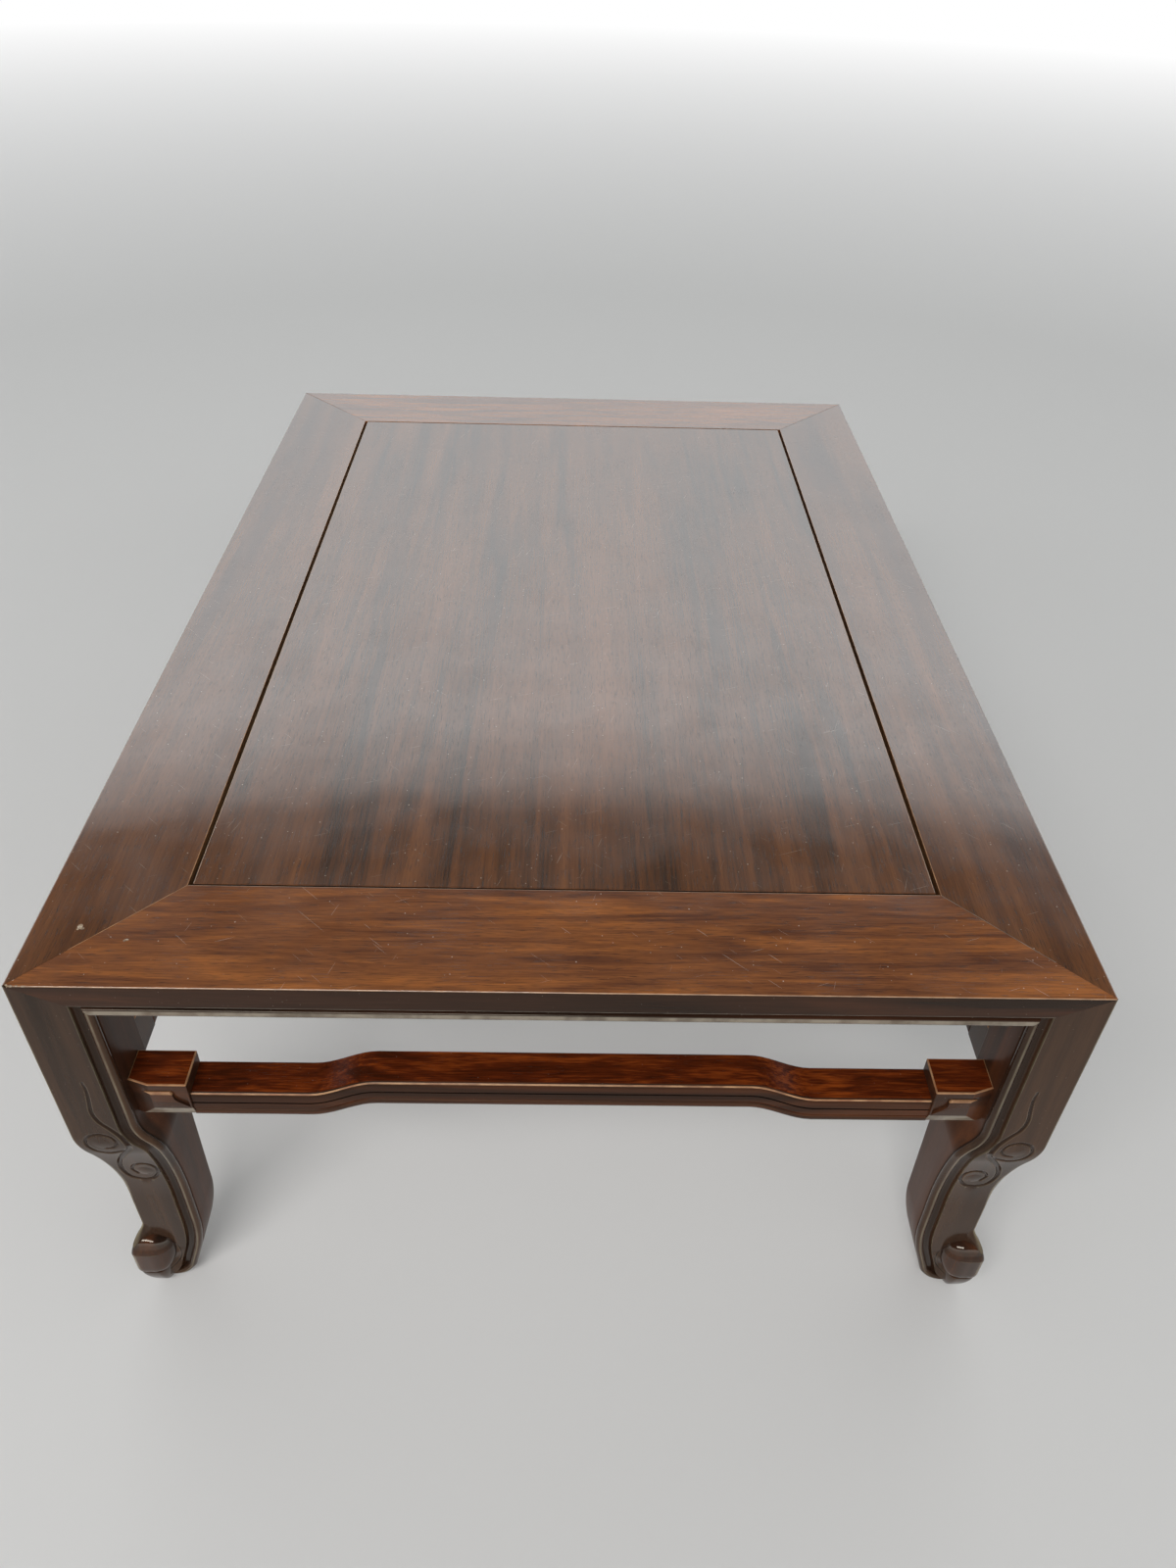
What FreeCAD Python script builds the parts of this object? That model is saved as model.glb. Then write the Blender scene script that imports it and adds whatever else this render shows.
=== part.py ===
import FreeCAD, Part
import Sketcher
import math
import os
import re

# Low display table with a flush frame-and-panel top, three-way mitred corners,
# humpback stretchers and inward-swept legs that end in a curled ball foot.
# Millimetres, +Z up, origin on the floor under the middle of the top, front end at -Y.

SIZES = {
    # whole table
    "table_width": 480,
    "table_length": 688,
    "table_height": 266,
    # top frame and the moulding along its lower edge and the legs' inner edges
    "rail_width": 62.5,
    "rail_thickness": 21.5,
    "groove_width": 3.7,
    "bead_width": 4.6,
    "bead_recess": 1.2,
    # floating panel, tongued into the rails
    "panel_thickness": 10.5,
    "tongue_thickness": 5.5,
    "tongue_slack": 0.2,
    "slot_depth": 8,
    "slot_play": 1.5,
    "side_gap": 2,
    "end_gap": 1,
    # tenons of the long rails in the end rails
    "corner_tenon_start": 38,
    "corner_tenon_width": 14,
    "corner_tenon_inset": 10,
    "corner_tenon_lift": 6,
    "corner_tenon_thickness": 7,
    # battens under the panel
    "batten_spacing": 150,
    "batten_width": 26,
    "batten_height": 10,
    "dovetail_neck": 12,
    "dovetail_head": 15,
    "dovetail_height": 4,
    "batten_tenon_width": 16,
    "batten_tenon_thickness": 4.5,
    "batten_tenon_lift": 2.5,
    "batten_tenon_length": 14,
    # legs
    "leg_width": 33,
    "knee_drop": 111.5,
    "knee_upper": 18,
    "knee_lower": 54,
    "ankle_inset": 9.7,
    "swell_drop": 103,
    "swell_height": 26,
    "swell_reach": 8.2,
    "shin_taper": 0.9,
    "shin_height": 58,
    "heel_height": 28.5,
    "heel_inset": 4.1,
    "toe_rise": 9,
    "toe_run": 13.4,
    "pad_width": 6.8,
    "cup_height": 25,
    "cup_inset": 2.3,
    "cup_foot_inset": 10,
    "cup_rim_radius": 13,
    "cup_foot_radius": 8,
    "ball_radius": 13,
    "ball_inset": 10.8,
    "ball_height": 28.6,
    "ball_flat": 1.5,
    "leg_tenon_start": 19,
    "leg_tenon_width": 9,
    "leg_tenon_inset": 7,
    "leg_tenon_thickness": 8,
    "leg_tenon_height": 15.5,
    # stretchers
    "stretcher_drop": 101,
    "stretcher_setback": 6,
    "stretcher_depth": 17.5,
    "stretcher_height": 16.5,
    "hump_rise": 9.8,
    "hump_run": 32,
    "end_hump_inset": 85,
    "side_hump_inset": 131,
    "block_length": 28.6,
    "block_height": 25,
    "block_bevel": 4.5,
    "bevel_depth": 2.4,
    "lower_bead": 3.9,
    "lower_quirk": 1.2,
    "face_line_height": 9.2,
    "face_line_width": 1,
    "quirk_depth": 1.4,
    "tenon_thickness": 8,
    "tenon_height": 14,
    "tenon_lift": 5,
    "tenon_length": 13.5,
}

CELLS = {name: "dims." + name for name in SIZES}

# How far a cutting tool runs past the face that it opens.
OVERCUT = "5"

doc = FreeCAD.newDocument("display_table")
sheet = doc.addObject("Spreadsheet::Sheet", "dims")
for row, (name, value) in enumerate(SIZES.items(), start=1):
    sheet.set(f"A{row}", name)
    sheet.set(f"B{row}", str(value))
    sheet.setAlias(f"B{row}", name)
doc.recompute()


def bound(text):
    """The formula with each size written as its cell of the sheet."""
    return re.sub(r"[a-z]\w*", lambda word: CELLS.get(word.group(), word.group()), text)


def number(text):
    return float(sheet.evalExpression(bound(text)))


def add(*terms):
    return "(" + " + ".join(f"({term})" for term in terms) + ")"


def less(first, second):
    return f"(({first}) - ({second}))"


def half(term):
    return f"({term}) / 2"


# Sketching

def arc_between(start, end, radius):
    """Arc from start to end; a positive radius keeps its centre on the left of the way."""
    chord = end - start
    left = FreeCAD.Vector(-chord.y, chord.x, 0).normalize()
    reach = math.sqrt(max(radius ** 2 - (chord.Length / 2) ** 2, 0))
    centre = (start + end) / 2 + left * math.copysign(reach, radius)
    first, last = (start, end) if radius > 0 else (end, start)
    angles = [math.atan2(spot.y - centre.y, spot.x - centre.x) for spot in (first, last)]
    circle = Part.Circle(centre, FreeCAD.Vector(0, 0, 1), abs(radius))
    return Part.ArcOfCircle(circle, *angles)


def draw(sketch, outline):
    """Closed outline of (x, y) corners; a third entry bends the edge that leaves the corner."""
    spots = [FreeCAD.Vector(number(corner[0]), number(corner[1]), 0) for corner in outline]
    base = sketch.GeometryCount
    ends = []
    constraints = []
    formulas = []

    def constrain(formula, *parts):
        constraints.append(Sketcher.Constraint(*parts))
        formulas.append(formula)

    for place, corner in enumerate(outline):
        start = spots[place]
        end = spots[(place + 1) % len(spots)]
        bend = number(corner[2]) if len(corner) == 3 else 0
        edge = arc_between(start, end, bend) if bend else Part.LineSegment(start, end)
        sketch.addGeometry(edge)
        ends.append((2, 1) if bend < 0 else (1, 2))
    for place, corner in enumerate(outline):
        edge = base + place
        after = (place + 1) % len(outline)
        constrain(None, "Coincident", edge, ends[place][1], base + after, ends[after][0])
        for axis, kind, text in ((-2, "DistanceX", corner[0]), (-1, "DistanceY", corner[1])):
            if text == "0":
                constrain(None, "PointOnObject", edge, ends[place][0], axis)
            else:
                constrain(text, kind, -1, 1, edge, ends[place][0], number(text))
        if len(corner) == 3:
            size = corner[2].lstrip("-")
            constrain(size, "Radius", edge, number(size))
    numbers = sketch.addConstraint(constraints)
    for constraint, formula in zip(numbers, formulas):
        if formula:
            sketch.setExpression(f"Constraints[{constraint}]", bound(formula))


def backwards(path):
    """The same open path walked from its other end."""
    corners = [corner[:2] for corner in path][::-1]
    bends = [corner[2] if len(corner) == 3 else None for corner in path[:-1]][::-1]
    turned = []
    for corner, bend in zip(corners, bends + [None]):
        if bend is None:
            turned.append(corner)
        else:
            turned.append(corner + (bend[1:] if bend.startswith("-") else "-" + bend,))
    return turned


def rectangle(left, low, width, height):
    right = add(left, width)
    top = add(low, height)
    return [(left, low), (right, low), (right, top), (left, top)]


# Bodies

def new_body(label):
    body = doc.addObject("PartDesign::Body", label)
    body.Label = label
    return body


def sketch_on(body, name, role, outlines, offset=None):
    plane = next(item for item in body.Origin.OriginFeatures if item.Role == role)
    sketch = body.newObject("Sketcher::SketchObject", f"{body.Label}_{name}")
    sketch.AttachmentSupport = [(plane, "")]
    sketch.MapMode = "FlatFace"
    if offset:
        sketch.setExpression("AttachmentOffset.Base.z", bound(offset))
    for outline in outlines:
        draw(sketch, outline)
    return sketch


def pad(body, sketch, length, backward=False):
    feature = body.newObject("PartDesign::Pad", sketch.Name + "_pad")
    feature.Profile = sketch
    feature.Reversed = backward
    feature.setExpression("Length", bound(length))
    doc.recompute()
    return feature


def pocket(body, sketch, length, backward=False):
    before = body.Shape.Volume
    feature = body.newObject("PartDesign::Pocket", sketch.Name + "_pocket")
    feature.Profile = sketch
    feature.Reversed = backward
    feature.setExpression("Length", bound(length))
    doc.recompute()
    if not body.Shape.Volume < before:
        raise RuntimeError(f"{feature.Label} cuts nothing")
    return feature


def place(item, corner, turn):
    """Moves a finished piece to its place, given as three formulas and a turn about Z."""
    item.Placement.Rotation = FreeCAD.Rotation(FreeCAD.Vector(0, 0, 1), turn)
    for axis, text in zip("xyz", corner):
        item.setExpression(f"Placement.Base.{axis}", bound(text))


# Shared lines of the frame and the legs

moulding = add("groove_width", "bead_width")
groove_depth = add("bead_recess", half("bead_width"))
rail_flat = less("rail_thickness", moulding)
leg_flat = less("leg_width", moulding)
half_width = half("table_width")
half_length = half("table_length")
rail_floor = less("table_height", "rail_thickness")
slot_floor = less("rail_thickness", "panel_thickness")
batten_floor = less(slot_floor, "batten_height")
batten_steps = (-1, 0, 1)


def rail_section():
    slot_top = add(slot_floor, "tongue_thickness", "tongue_slack")
    slot_back = less("rail_width", "slot_depth")
    bead_radius = half("bead_width")
    return [
        ("0", "rail_thickness"),
        ("0", moulding),
        (groove_depth, moulding),
        (groove_depth, "bead_width", bead_radius),
        ("bead_recess", bead_radius, bead_radius),
        (groove_depth, "0"),
        ("rail_width", "0"),
        ("rail_width", slot_floor),
        (slot_back, slot_floor),
        (slot_back, slot_top),
        ("rail_width", slot_top),
        ("rail_width", "rail_thickness"),
    ]


def at_both_ends(outline, length):
    """The outline at the near end of a rail, and its mirror at the far end."""
    mirror = [(less(length, x), y) for x, y in outline][::-1]
    return [outline, mirror]


def mitre_outline():
    reach = add("rail_width", OVERCUT)
    return [("0", "0"), (reach, reach), ("0", reach)]


def leg_head_outline():
    """The part of a rail's end that the leg's head takes, seen on the rail's face."""
    return [("0", "0"), ("leg_width", "0"), (leg_flat, moulding), ("0", "rail_thickness")]


def corner_tenon_outline():
    """Plan of a long rail's tenon, from its tip to the mitre."""
    far = add("corner_tenon_start", "corner_tenon_width")
    tip = "corner_tenon_inset"
    start = "corner_tenon_start"
    return [(tip, start), (start, start), (far, far), (tip, far)]


def rail(label, length, corner, turn, tenoned):
    """One frame member: local x runs along its outer face, y inwards, z up from its underside."""
    body = new_body(label)
    pad(body, sketch_on(body, "section", "YZ_Plane", [rail_section()]), length)
    mitres = sketch_on(body, "mitres", "XY_Plane", at_both_ends(mitre_outline(), length))
    pocket(body, mitres, add("rail_thickness", OVERCUT), backward=True)
    heads = sketch_on(body, "leg_heads", "XZ_Plane", at_both_ends(leg_head_outline(), length))
    pocket(body, heads, "rail_width")
    mortise = rectangle("leg_tenon_start", "leg_tenon_inset", "leg_tenon_width", "leg_tenon_thickness")
    mortises = sketch_on(body, "leg_mortises", "XY_Plane", at_both_ends(mortise, length))
    pocket(body, mortises, "leg_tenon_height", backward=True)
    tenon = corner_tenon_outline()
    if tenoned:
        both = at_both_ends(tenon, length)
        tenons = sketch_on(body, "corner_tenons", "XY_Plane", both, "corner_tenon_lift")
        pad(body, tenons, "corner_tenon_thickness")
        low = less("rail_width", "batten_tenon_length")
        sockets = []
        for step in batten_steps:
            left = add(half(length), f"{step} * batten_spacing", "-batten_tenon_width / 2")
            sockets.append(rectangle(left, low, "batten_tenon_width", add("batten_tenon_length", OVERCUT)))
        lift = add(batten_floor, "batten_tenon_lift")
        rows = sketch_on(body, "batten_sockets", "XY_Plane", sockets, lift)
        pocket(body, rows, "batten_tenon_thickness", backward=True)
    else:
        both = at_both_ends([(y, x) for x, y in tenon][::-1], length)
        sockets = sketch_on(body, "corner_sockets", "XY_Plane", both, "corner_tenon_lift")
        pocket(body, sockets, "corner_tenon_thickness", backward=True)
    place(body, corner + (rail_floor,), turn)
    return body


def panel():
    """Floating panel, flush with the frame, with a tongue all round and dovetail slots below."""
    body = new_body("panel")
    reach = less("slot_depth", "slot_play")
    wide = less("table_width", f"2 * (rail_width - {reach})")
    long = less("table_length", f"2 * (rail_width - {reach})")
    tongue = sketch_on(body, "tongue", "XY_Plane", [rectangle("0", "0", wide, long)])
    pad(body, tongue, "tongue_thickness")
    side = add(reach, "side_gap")
    end = add(reach, "end_gap")
    field = rectangle(side, end, less(wide, f"2 * {side}"), less(long, f"2 * {end}"))
    pad(body, sketch_on(body, "field", "XY_Plane", [field]), "panel_thickness")
    slots = []
    for step in batten_steps:
        middle = add(half(long), f"{step} * batten_spacing")
        slots.append(dovetail(middle, "0"))
    pocket(body, sketch_on(body, "dovetail_slots", "YZ_Plane", slots), wide, backward=True)
    place(body, (f"-{half(wide)}", f"-{half(long)}", less("table_height", "panel_thickness")), 0)
    return body


def dovetail(middle, low):
    top = add(low, "dovetail_height")
    return [
        (less(middle, "dovetail_neck / 2"), low),
        (add(middle, "dovetail_neck / 2"), low),
        (add(middle, "dovetail_head / 2"), top),
        (less(middle, "dovetail_head / 2"), top),
    ]


def batten(label, step):
    """Cross batten, dovetailed into the panel and tenoned into the long rails."""
    body = new_body(label)
    span = less("table_width", "2 * rail_width")
    neck_left, neck_right, head_right, head_left = dovetail("batten_width / 2", "batten_height")
    section = [
        ("0", "0"),
        ("batten_width", "0"),
        ("batten_width", "batten_height"),
        neck_right,
        head_right,
        head_left,
        neck_left,
        ("0", "batten_height"),
    ]
    pad(body, sketch_on(body, "section", "YZ_Plane", [section]), span)
    left = "(batten_width - batten_tenon_width) / 2"
    tenon = rectangle(left, "batten_tenon_lift", "batten_tenon_width", "batten_tenon_thickness")
    tenons = sketch_on(body, "tenons", "YZ_Plane", [tenon], "-batten_tenon_length")
    pad(body, tenons, add(span, "2 * batten_tenon_length"))
    low = add(rail_floor, batten_floor)
    place(body, (f"-{half(span)}", f"{step} * batten_spacing - batten_width / 2", low), 0)
    return body


# Legs, drawn from their outer corner: x and y inwards, z up from the floor

knee_slope = "(ankle_inset / (knee_upper + knee_lower))"
swell_slope = "(swell_reach / swell_height)"
toe_slope = "(toe_rise / toe_run)"
pad_end = add("ankle_inset", "pad_width")
swell_top = less("table_height", "swell_drop")
swell_low = less(swell_top, "swell_height")
swell_x = add("leg_width", "swell_reach")
shin_x = less(swell_x, "shin_taper")
heel_x = less(shin_x, "heel_inset")
heel_rise = less("shin_height", "heel_height")
heel_slope = f"(heel_inset / {heel_rise})"


def curve_radius(rise, slope):
    """Radius of one half of an S that leaves the vertical, turns and comes back to it."""
    return f"(({rise}) * (1 + {slope}^2) / (2 * {slope}))"


def sine(slope):
    return f"(2 * {slope} / (1 + {slope}^2))"


def cosine(slope):
    return f"((1 - {slope}^2) / (1 + {slope}^2))"


def inner_edge(inset):
    """The leg's inner edge from under the foot up to the frame, moved into the leg by inset."""
    toe = less("(toe_run^2 + toe_rise^2) / (2 * toe_rise)", inset)
    sweep = less(curve_radius(heel_rise, heel_slope), inset)
    swell = half("swell_height")
    lower = less(curve_radius(swell, swell_slope), inset)
    upper = add(curve_radius(swell, swell_slope), inset)
    return [
        (pad_end, inset, toe),
        (
            add(pad_end, "toe_run", f"-{inset} * {sine(toe_slope)}"),
            add("toe_rise", f"{inset} * {cosine(toe_slope)}"),
        ),
        (
            less(heel_x, f"{inset} * {cosine(heel_slope)}"),
            add("heel_height", f"{inset} * {sine(heel_slope)}"),
            sweep,
        ),
        (less(shin_x, inset), "shin_height"),
        (less(swell_x, inset), swell_low, lower),
        (
            add("leg_width", half("swell_reach"), f"-{inset} * {cosine(swell_slope)}"),
            add(swell_low, swell, f"-{inset} * {sine(swell_slope)}"),
            "-" + upper,
        ),
        (less("leg_width", inset), swell_top),
        (less("leg_width", inset), add(rail_floor, inset)),
    ]


def outer_edge(inset):
    """The leg's outer edge from the knee down to the floor, moved into the leg by inset."""
    knee = less("table_height", "knee_drop")
    return [
        (inset, knee, curve_radius("knee_upper", knee_slope)),
        (
            add(inset, f"knee_upper * {knee_slope}"),
            less(knee, "knee_upper"),
            "-" + curve_radius("knee_lower", knee_slope),
        ),
        (add(inset, "ankle_inset"), less(knee, add("knee_upper", "knee_lower"))),
        (add(inset, "ankle_inset"), "0"),
    ]


def leg_outline():
    head = [(leg_flat, less("table_height", rail_flat)), ("0", "table_height")]
    return inner_edge("0") + head + outer_edge("0")


def band_outline(near, far):
    """Strip beside the inner edge, open under the foot and at the frame."""
    outside = f"-{OVERCUT}"
    inner = [(outside, near)] + inner_edge(near)
    outer = backwards([(outside, far)] + inner_edge(far))
    return inner + outer


def layer_outline(depth):
    """Skin of the leg's face, as deep as a cut is to go into it."""
    over = add("table_height", OVERCUT)
    outside = f"-{OVERCUT}"
    return [(depth, over)] + outer_edge(depth) + [(outside, "0"), (outside, over)]


def cup_outline():
    """The curl under the ball, from its rim in to the floor."""
    drop = less("cup_foot_inset", "cup_inset")
    radius = f"((cup_height^2 + {drop}^2) / (2 * {drop}))"
    reach = add("ball_inset", "cup_rim_radius")
    return [("cup_inset", "cup_height", radius), ("cup_foot_inset", "0"), (reach, "0"), (reach, "cup_height")]


# Sketch x and y as they stand on the leg's front and side faces.
FACES = {
    "front": (FreeCAD.Rotation(FreeCAD.Vector(1, 0, 0), 90), FreeCAD.Vector(0, 1, 0)),
    "side": (FreeCAD.Rotation(FreeCAD.Vector(1, 1, 1), 120), FreeCAD.Vector(1, 0, 0)),
}
OTHER_FACE = {"front": "side", "side": "front"}


def prism(name, outline, face):
    """The outline, seen on one face of the leg, carried right through it."""
    sketch = doc.addObject("Sketcher::SketchObject", name + "_outline")
    turn, way = FACES[face]
    sketch.Placement = FreeCAD.Placement(FreeCAD.Vector(), turn)
    draw(sketch, outline)
    solid = doc.addObject("Part::Extrusion", name)
    solid.Base = sketch
    solid.DirMode = "Custom"
    solid.Dir = way
    solid.Solid = True
    solid.setExpression("LengthFwd", bound(swell_x))
    return solid


def box(name, corner, size):
    solid = doc.addObject("Part::Box", name)
    for axis, text in zip("xyz", corner):
        solid.setExpression(f"Placement.Base.{axis}", bound(text))
    for side, text in zip(("Length", "Width", "Height"), size):
        solid.setExpression(side, bound(text))
    return solid


def joined(kind, name, shapes):
    result = doc.addObject(kind, name)
    result.Shapes = shapes
    return result


def leg_blank():
    """The square post, swept in at the knee alike on both faces."""
    sides = [prism(f"leg_{face}_profile", leg_outline(), face) for face in FACES]
    return joined("Part::MultiCommon", "leg_blank", sides)


def ball():
    """Ball under the ankle, flattened where the post's own faces end it."""
    sphere = doc.addObject("Part::Sphere", "ball_sphere")
    sphere.setExpression("Radius", bound("ball_radius"))
    for axis, text in zip("xyz", ("ball_inset", "ball_inset", "ball_height")):
        sphere.setExpression(f"Placement.Base.{axis}", bound(text))
    reach = "2 * ball_radius"
    room = box("ball_room", ("ball_flat", "ball_flat", "ball_height - ball_radius"), (reach, reach, reach))
    return joined("Part::MultiCommon", "ball", [sphere, room])


def cup():
    """Round curl of the foot that the ball lies in."""
    bowl = doc.addObject("Part::Cone", "cup_bowl")
    sizes = {"Radius1": "cup_foot_radius", "Radius2": "cup_rim_radius", "Height": "cup_height"}
    for name, text in sizes.items():
        bowl.setExpression(name, bound(text))
    for axis in "xy":
        bowl.setExpression(f"Placement.Base.{axis}", bound("ball_inset"))
    sides = [prism(f"cup_{face}_profile", cup_outline(), face) for face in FACES]
    return joined("Part::MultiCommon", "cup", sides + [bowl])


def leg_tenon(face):
    """Stub tenon that rises from the leg's head into one of the two rails."""
    along = ("leg_tenon_start", "leg_tenon_width")
    across = ("leg_tenon_inset", "leg_tenon_thickness")
    first, second = (along, across) if face == "front" else (across, along)
    return box(
        f"leg_tenon_{face}",
        (first[0], second[0], rail_floor),
        (first[1], second[1], "leg_tenon_height"),
    )


def leg_mortise(face):
    """Mortise in the leg for the tenon of the stretcher on that face."""
    along = (less("leg_width", "tenon_length"), add("tenon_length", OVERCUT))
    across = (add("stretcher_setback", "(stretcher_depth - tenon_thickness) / 2"), "tenon_thickness")
    first, second = (along, across) if face == "front" else (across, along)
    low = add(less("table_height", "stretcher_drop"), "tenon_lift")
    return box(f"leg_mortise_{face}", (first[0], second[0], low), (first[1], second[1], "tenon_height"))


def moulding_cut(name, near, far, depth, face):
    """Cuts the strip between two insets to one depth, on one face."""
    band = prism(f"{name}_band_{face}", band_outline(near, far), face)
    layer = prism(f"{name}_layer_{face}", layer_outline(depth), OTHER_FACE[face])
    return joined("Part::MultiCommon", f"{name}_{face}", [band, layer])


def leg_shape():
    post = joined("Part::MultiFuse", "leg_post", [leg_blank()] + [leg_tenon(face) for face in FACES])
    cuts = []
    for face in FACES:
        cuts.append(moulding_cut("leg_groove", "bead_width", moulding, groove_depth, face))
        cuts.append(moulding_cut("leg_bead", "0", "bead_width", "bead_recess", face))
        cuts.append(leg_mortise(face))
    moulded = doc.addObject("Part::Cut", "leg_moulded")
    moulded.Base = post
    moulded.Tool = joined("Part::MultiFuse", "leg_cuts", cuts)
    return joined("Part::MultiFuse", "leg_shape", [moulded, ball(), cup()])


def leg(label, shape, corner, turn):
    post = doc.addObject("Part::Refine", label)
    post.Label = label
    post.Source = shape
    place(post, corner + ("0",), turn)
    return post


# Stretchers

def hump_line(height, inset, span):
    """A stretcher's edge from left to right, raised in the middle by two gentle S curves."""
    slope = "(hump_rise / hump_run)"
    bend = curve_radius("hump_run / 2", slope)
    middle = add(height, half("hump_rise"))
    top = add(height, "hump_rise")
    rise = [inset, add(inset, half("hump_run")), add(inset, "hump_run")]
    fall = [less(span, x) for x in rise]
    return [
        (rise[0], height, bend),
        (rise[1], middle, "-" + bend),
        (rise[2], top),
        (fall[2], top, "-" + bend),
        (fall[1], middle, bend),
        (fall[0], height),
    ]


def face_strip(low, height, inset, span):
    """Fine line on the stretcher's face, between its two end blocks."""
    left = "block_length"
    right = less(span, "block_length")
    top = add(low, height)
    lower = [(left, low)] + hump_line(low, inset, span) + [(right, low)]
    upper = [(left, top)] + hump_line(top, inset, span) + [(right, top)]
    return lower + backwards(upper)


def stretcher(label, length, inset, corner, turn):
    """Humpback stretcher with its end blocks and tenons: x along it, y inwards, z up."""
    body = new_body(label)
    span = less(length, "2 * leg_width")
    far_block = less(span, "block_length")
    top = [("block_length", "stretcher_height")] + hump_line("stretcher_height", inset, span)
    top.append((far_block, "stretcher_height"))
    elevation = [("0", "0")] + hump_line("0", inset, span)
    elevation += [(span, "0"), (span, "block_height"), (far_block, "block_height")]
    elevation += backwards(top)
    elevation += [("block_length", "block_height"), ("0", "block_height")]
    pad(body, sketch_on(body, "elevation", "XZ_Plane", [elevation]), "stretcher_depth", backward=True)
    lines = [
        face_strip("lower_bead", "lower_quirk", inset, span),
        face_strip("face_line_height", "face_line_width", inset, span),
    ]
    pocket(body, sketch_on(body, "face_lines", "XZ_Plane", lines), "quirk_depth")
    bevel = [("0", "0"), ("block_bevel", "0"), ("0", "bevel_depth")]
    ends = sketch_on(body, "end_bevels", "XY_Plane", at_both_ends(bevel, span))
    pocket(body, ends, "block_height", backward=True)
    edge = [("0", "0"), ("bevel_depth", "0"), ("0", "lower_bead")]
    for name, start in (("near", "0"), ("far", far_block)):
        sketch = sketch_on(body, name + "_block_edge", "YZ_Plane", [edge], start)
        pocket(body, sketch, "block_length", backward=True)
    left = half(less("stretcher_depth", "tenon_thickness"))
    tenon = rectangle(left, "tenon_lift", "tenon_thickness", "tenon_height")
    root = half("block_length")
    for name, start in (("near", "-tenon_length"), ("far", less(span, root))):
        sketch = sketch_on(body, name + "_tenon", "YZ_Plane", [tenon], start)
        pad(body, sketch, add("tenon_length", root))
    place(body, corner + (less("table_height", "stretcher_drop"),), turn)
    return body


# Assembly

left_x = f"-{half_width}"
front_y = f"-{half_length}"
pieces = [
    rail("end_rail_front", "table_width", (left_x, front_y), 0, tenoned=False),
    rail("end_rail_back", "table_width", (half_width, half_length), 180, tenoned=False),
    rail("side_rail_left", "table_length", (left_x, half_length), -90, tenoned=True),
    rail("side_rail_right", "table_length", (half_width, front_y), 90, tenoned=True),
    panel(),
]
for name, step in zip(("front", "middle", "back"), batten_steps):
    pieces.append(batten("batten_" + name, step))

post = leg_shape()
pieces += [
    leg("leg_front_left", post, (left_x, front_y), 0),
    leg("leg_front_right", post, (half_width, front_y), 90),
    leg("leg_back_right", post, (half_width, half_length), 180),
    leg("leg_back_left", post, (left_x, half_length), 270),
]

inner_x = less(half_width, "leg_width")
inner_y = less(half_length, "leg_width")
face_x = less(half_width, "stretcher_setback")
face_y = less(half_length, "stretcher_setback")
pieces += [
    stretcher("stretcher_front", "table_width", "end_hump_inset", (f"-{inner_x}", f"-{face_y}"), 0),
    stretcher("stretcher_back", "table_width", "end_hump_inset", (inner_x, face_y), 180),
    stretcher("stretcher_left", "table_length", "side_hump_inset", (f"-{face_x}", inner_y), -90),
    stretcher("stretcher_right", "table_length", "side_hump_inset", (face_x, f"-{inner_y}"), 90),
]

doc.recompute()
for item in doc.Objects:
    if "Invalid" in item.State or "Error" in item.State:
        raise RuntimeError(f"{item.Label} failed: {item.State}")
for piece in pieces:
    if piece.Shape.isNull() or not piece.Shape.isValid():
        raise RuntimeError(f"{piece.Label} has no valid shape")

os.makedirs("parts", exist_ok=True)
for piece in pieces:
    piece.Shape.exportStep(f"parts/{piece.Label}.step")
    print(piece.Label, len(piece.Shape.Solids), "solid", round(piece.Shape.Volume / 1000, 1), "cm3")
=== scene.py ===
import math

import bmesh
import bpy
import numpy as np
from mathutils import Matrix, Vector


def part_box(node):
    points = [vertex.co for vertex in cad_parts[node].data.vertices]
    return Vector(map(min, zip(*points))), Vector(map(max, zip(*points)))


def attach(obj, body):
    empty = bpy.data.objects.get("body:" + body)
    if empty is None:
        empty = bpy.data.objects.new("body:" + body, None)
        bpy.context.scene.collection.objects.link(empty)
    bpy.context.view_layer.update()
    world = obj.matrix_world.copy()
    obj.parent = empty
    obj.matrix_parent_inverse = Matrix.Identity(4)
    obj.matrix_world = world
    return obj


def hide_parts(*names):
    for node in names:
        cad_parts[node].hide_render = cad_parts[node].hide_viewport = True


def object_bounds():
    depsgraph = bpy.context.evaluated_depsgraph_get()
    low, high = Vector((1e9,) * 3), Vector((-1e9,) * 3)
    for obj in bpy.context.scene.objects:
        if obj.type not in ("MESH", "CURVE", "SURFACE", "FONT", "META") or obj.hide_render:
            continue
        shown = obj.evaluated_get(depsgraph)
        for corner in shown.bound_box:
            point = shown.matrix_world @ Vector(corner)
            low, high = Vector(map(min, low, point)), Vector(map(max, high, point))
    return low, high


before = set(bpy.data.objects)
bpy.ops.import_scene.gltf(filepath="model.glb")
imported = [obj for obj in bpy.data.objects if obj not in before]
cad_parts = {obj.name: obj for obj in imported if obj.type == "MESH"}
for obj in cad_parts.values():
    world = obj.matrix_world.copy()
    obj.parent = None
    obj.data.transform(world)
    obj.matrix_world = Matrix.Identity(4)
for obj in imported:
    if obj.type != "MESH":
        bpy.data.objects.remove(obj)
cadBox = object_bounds()
print("frame loaded:", len(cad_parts), "nodes")

mm = 0.001  # every shape below is written in millimetres
touch = 0.01  # places nearer than this count as one
halfWidth, halfLength, topLevel = cadBox[1] / mm
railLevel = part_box("end_rail_front")[0].z / mm  # underside of the rails
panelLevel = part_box("panel")[0].z / mm


# small helpers for working as by hand

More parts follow.
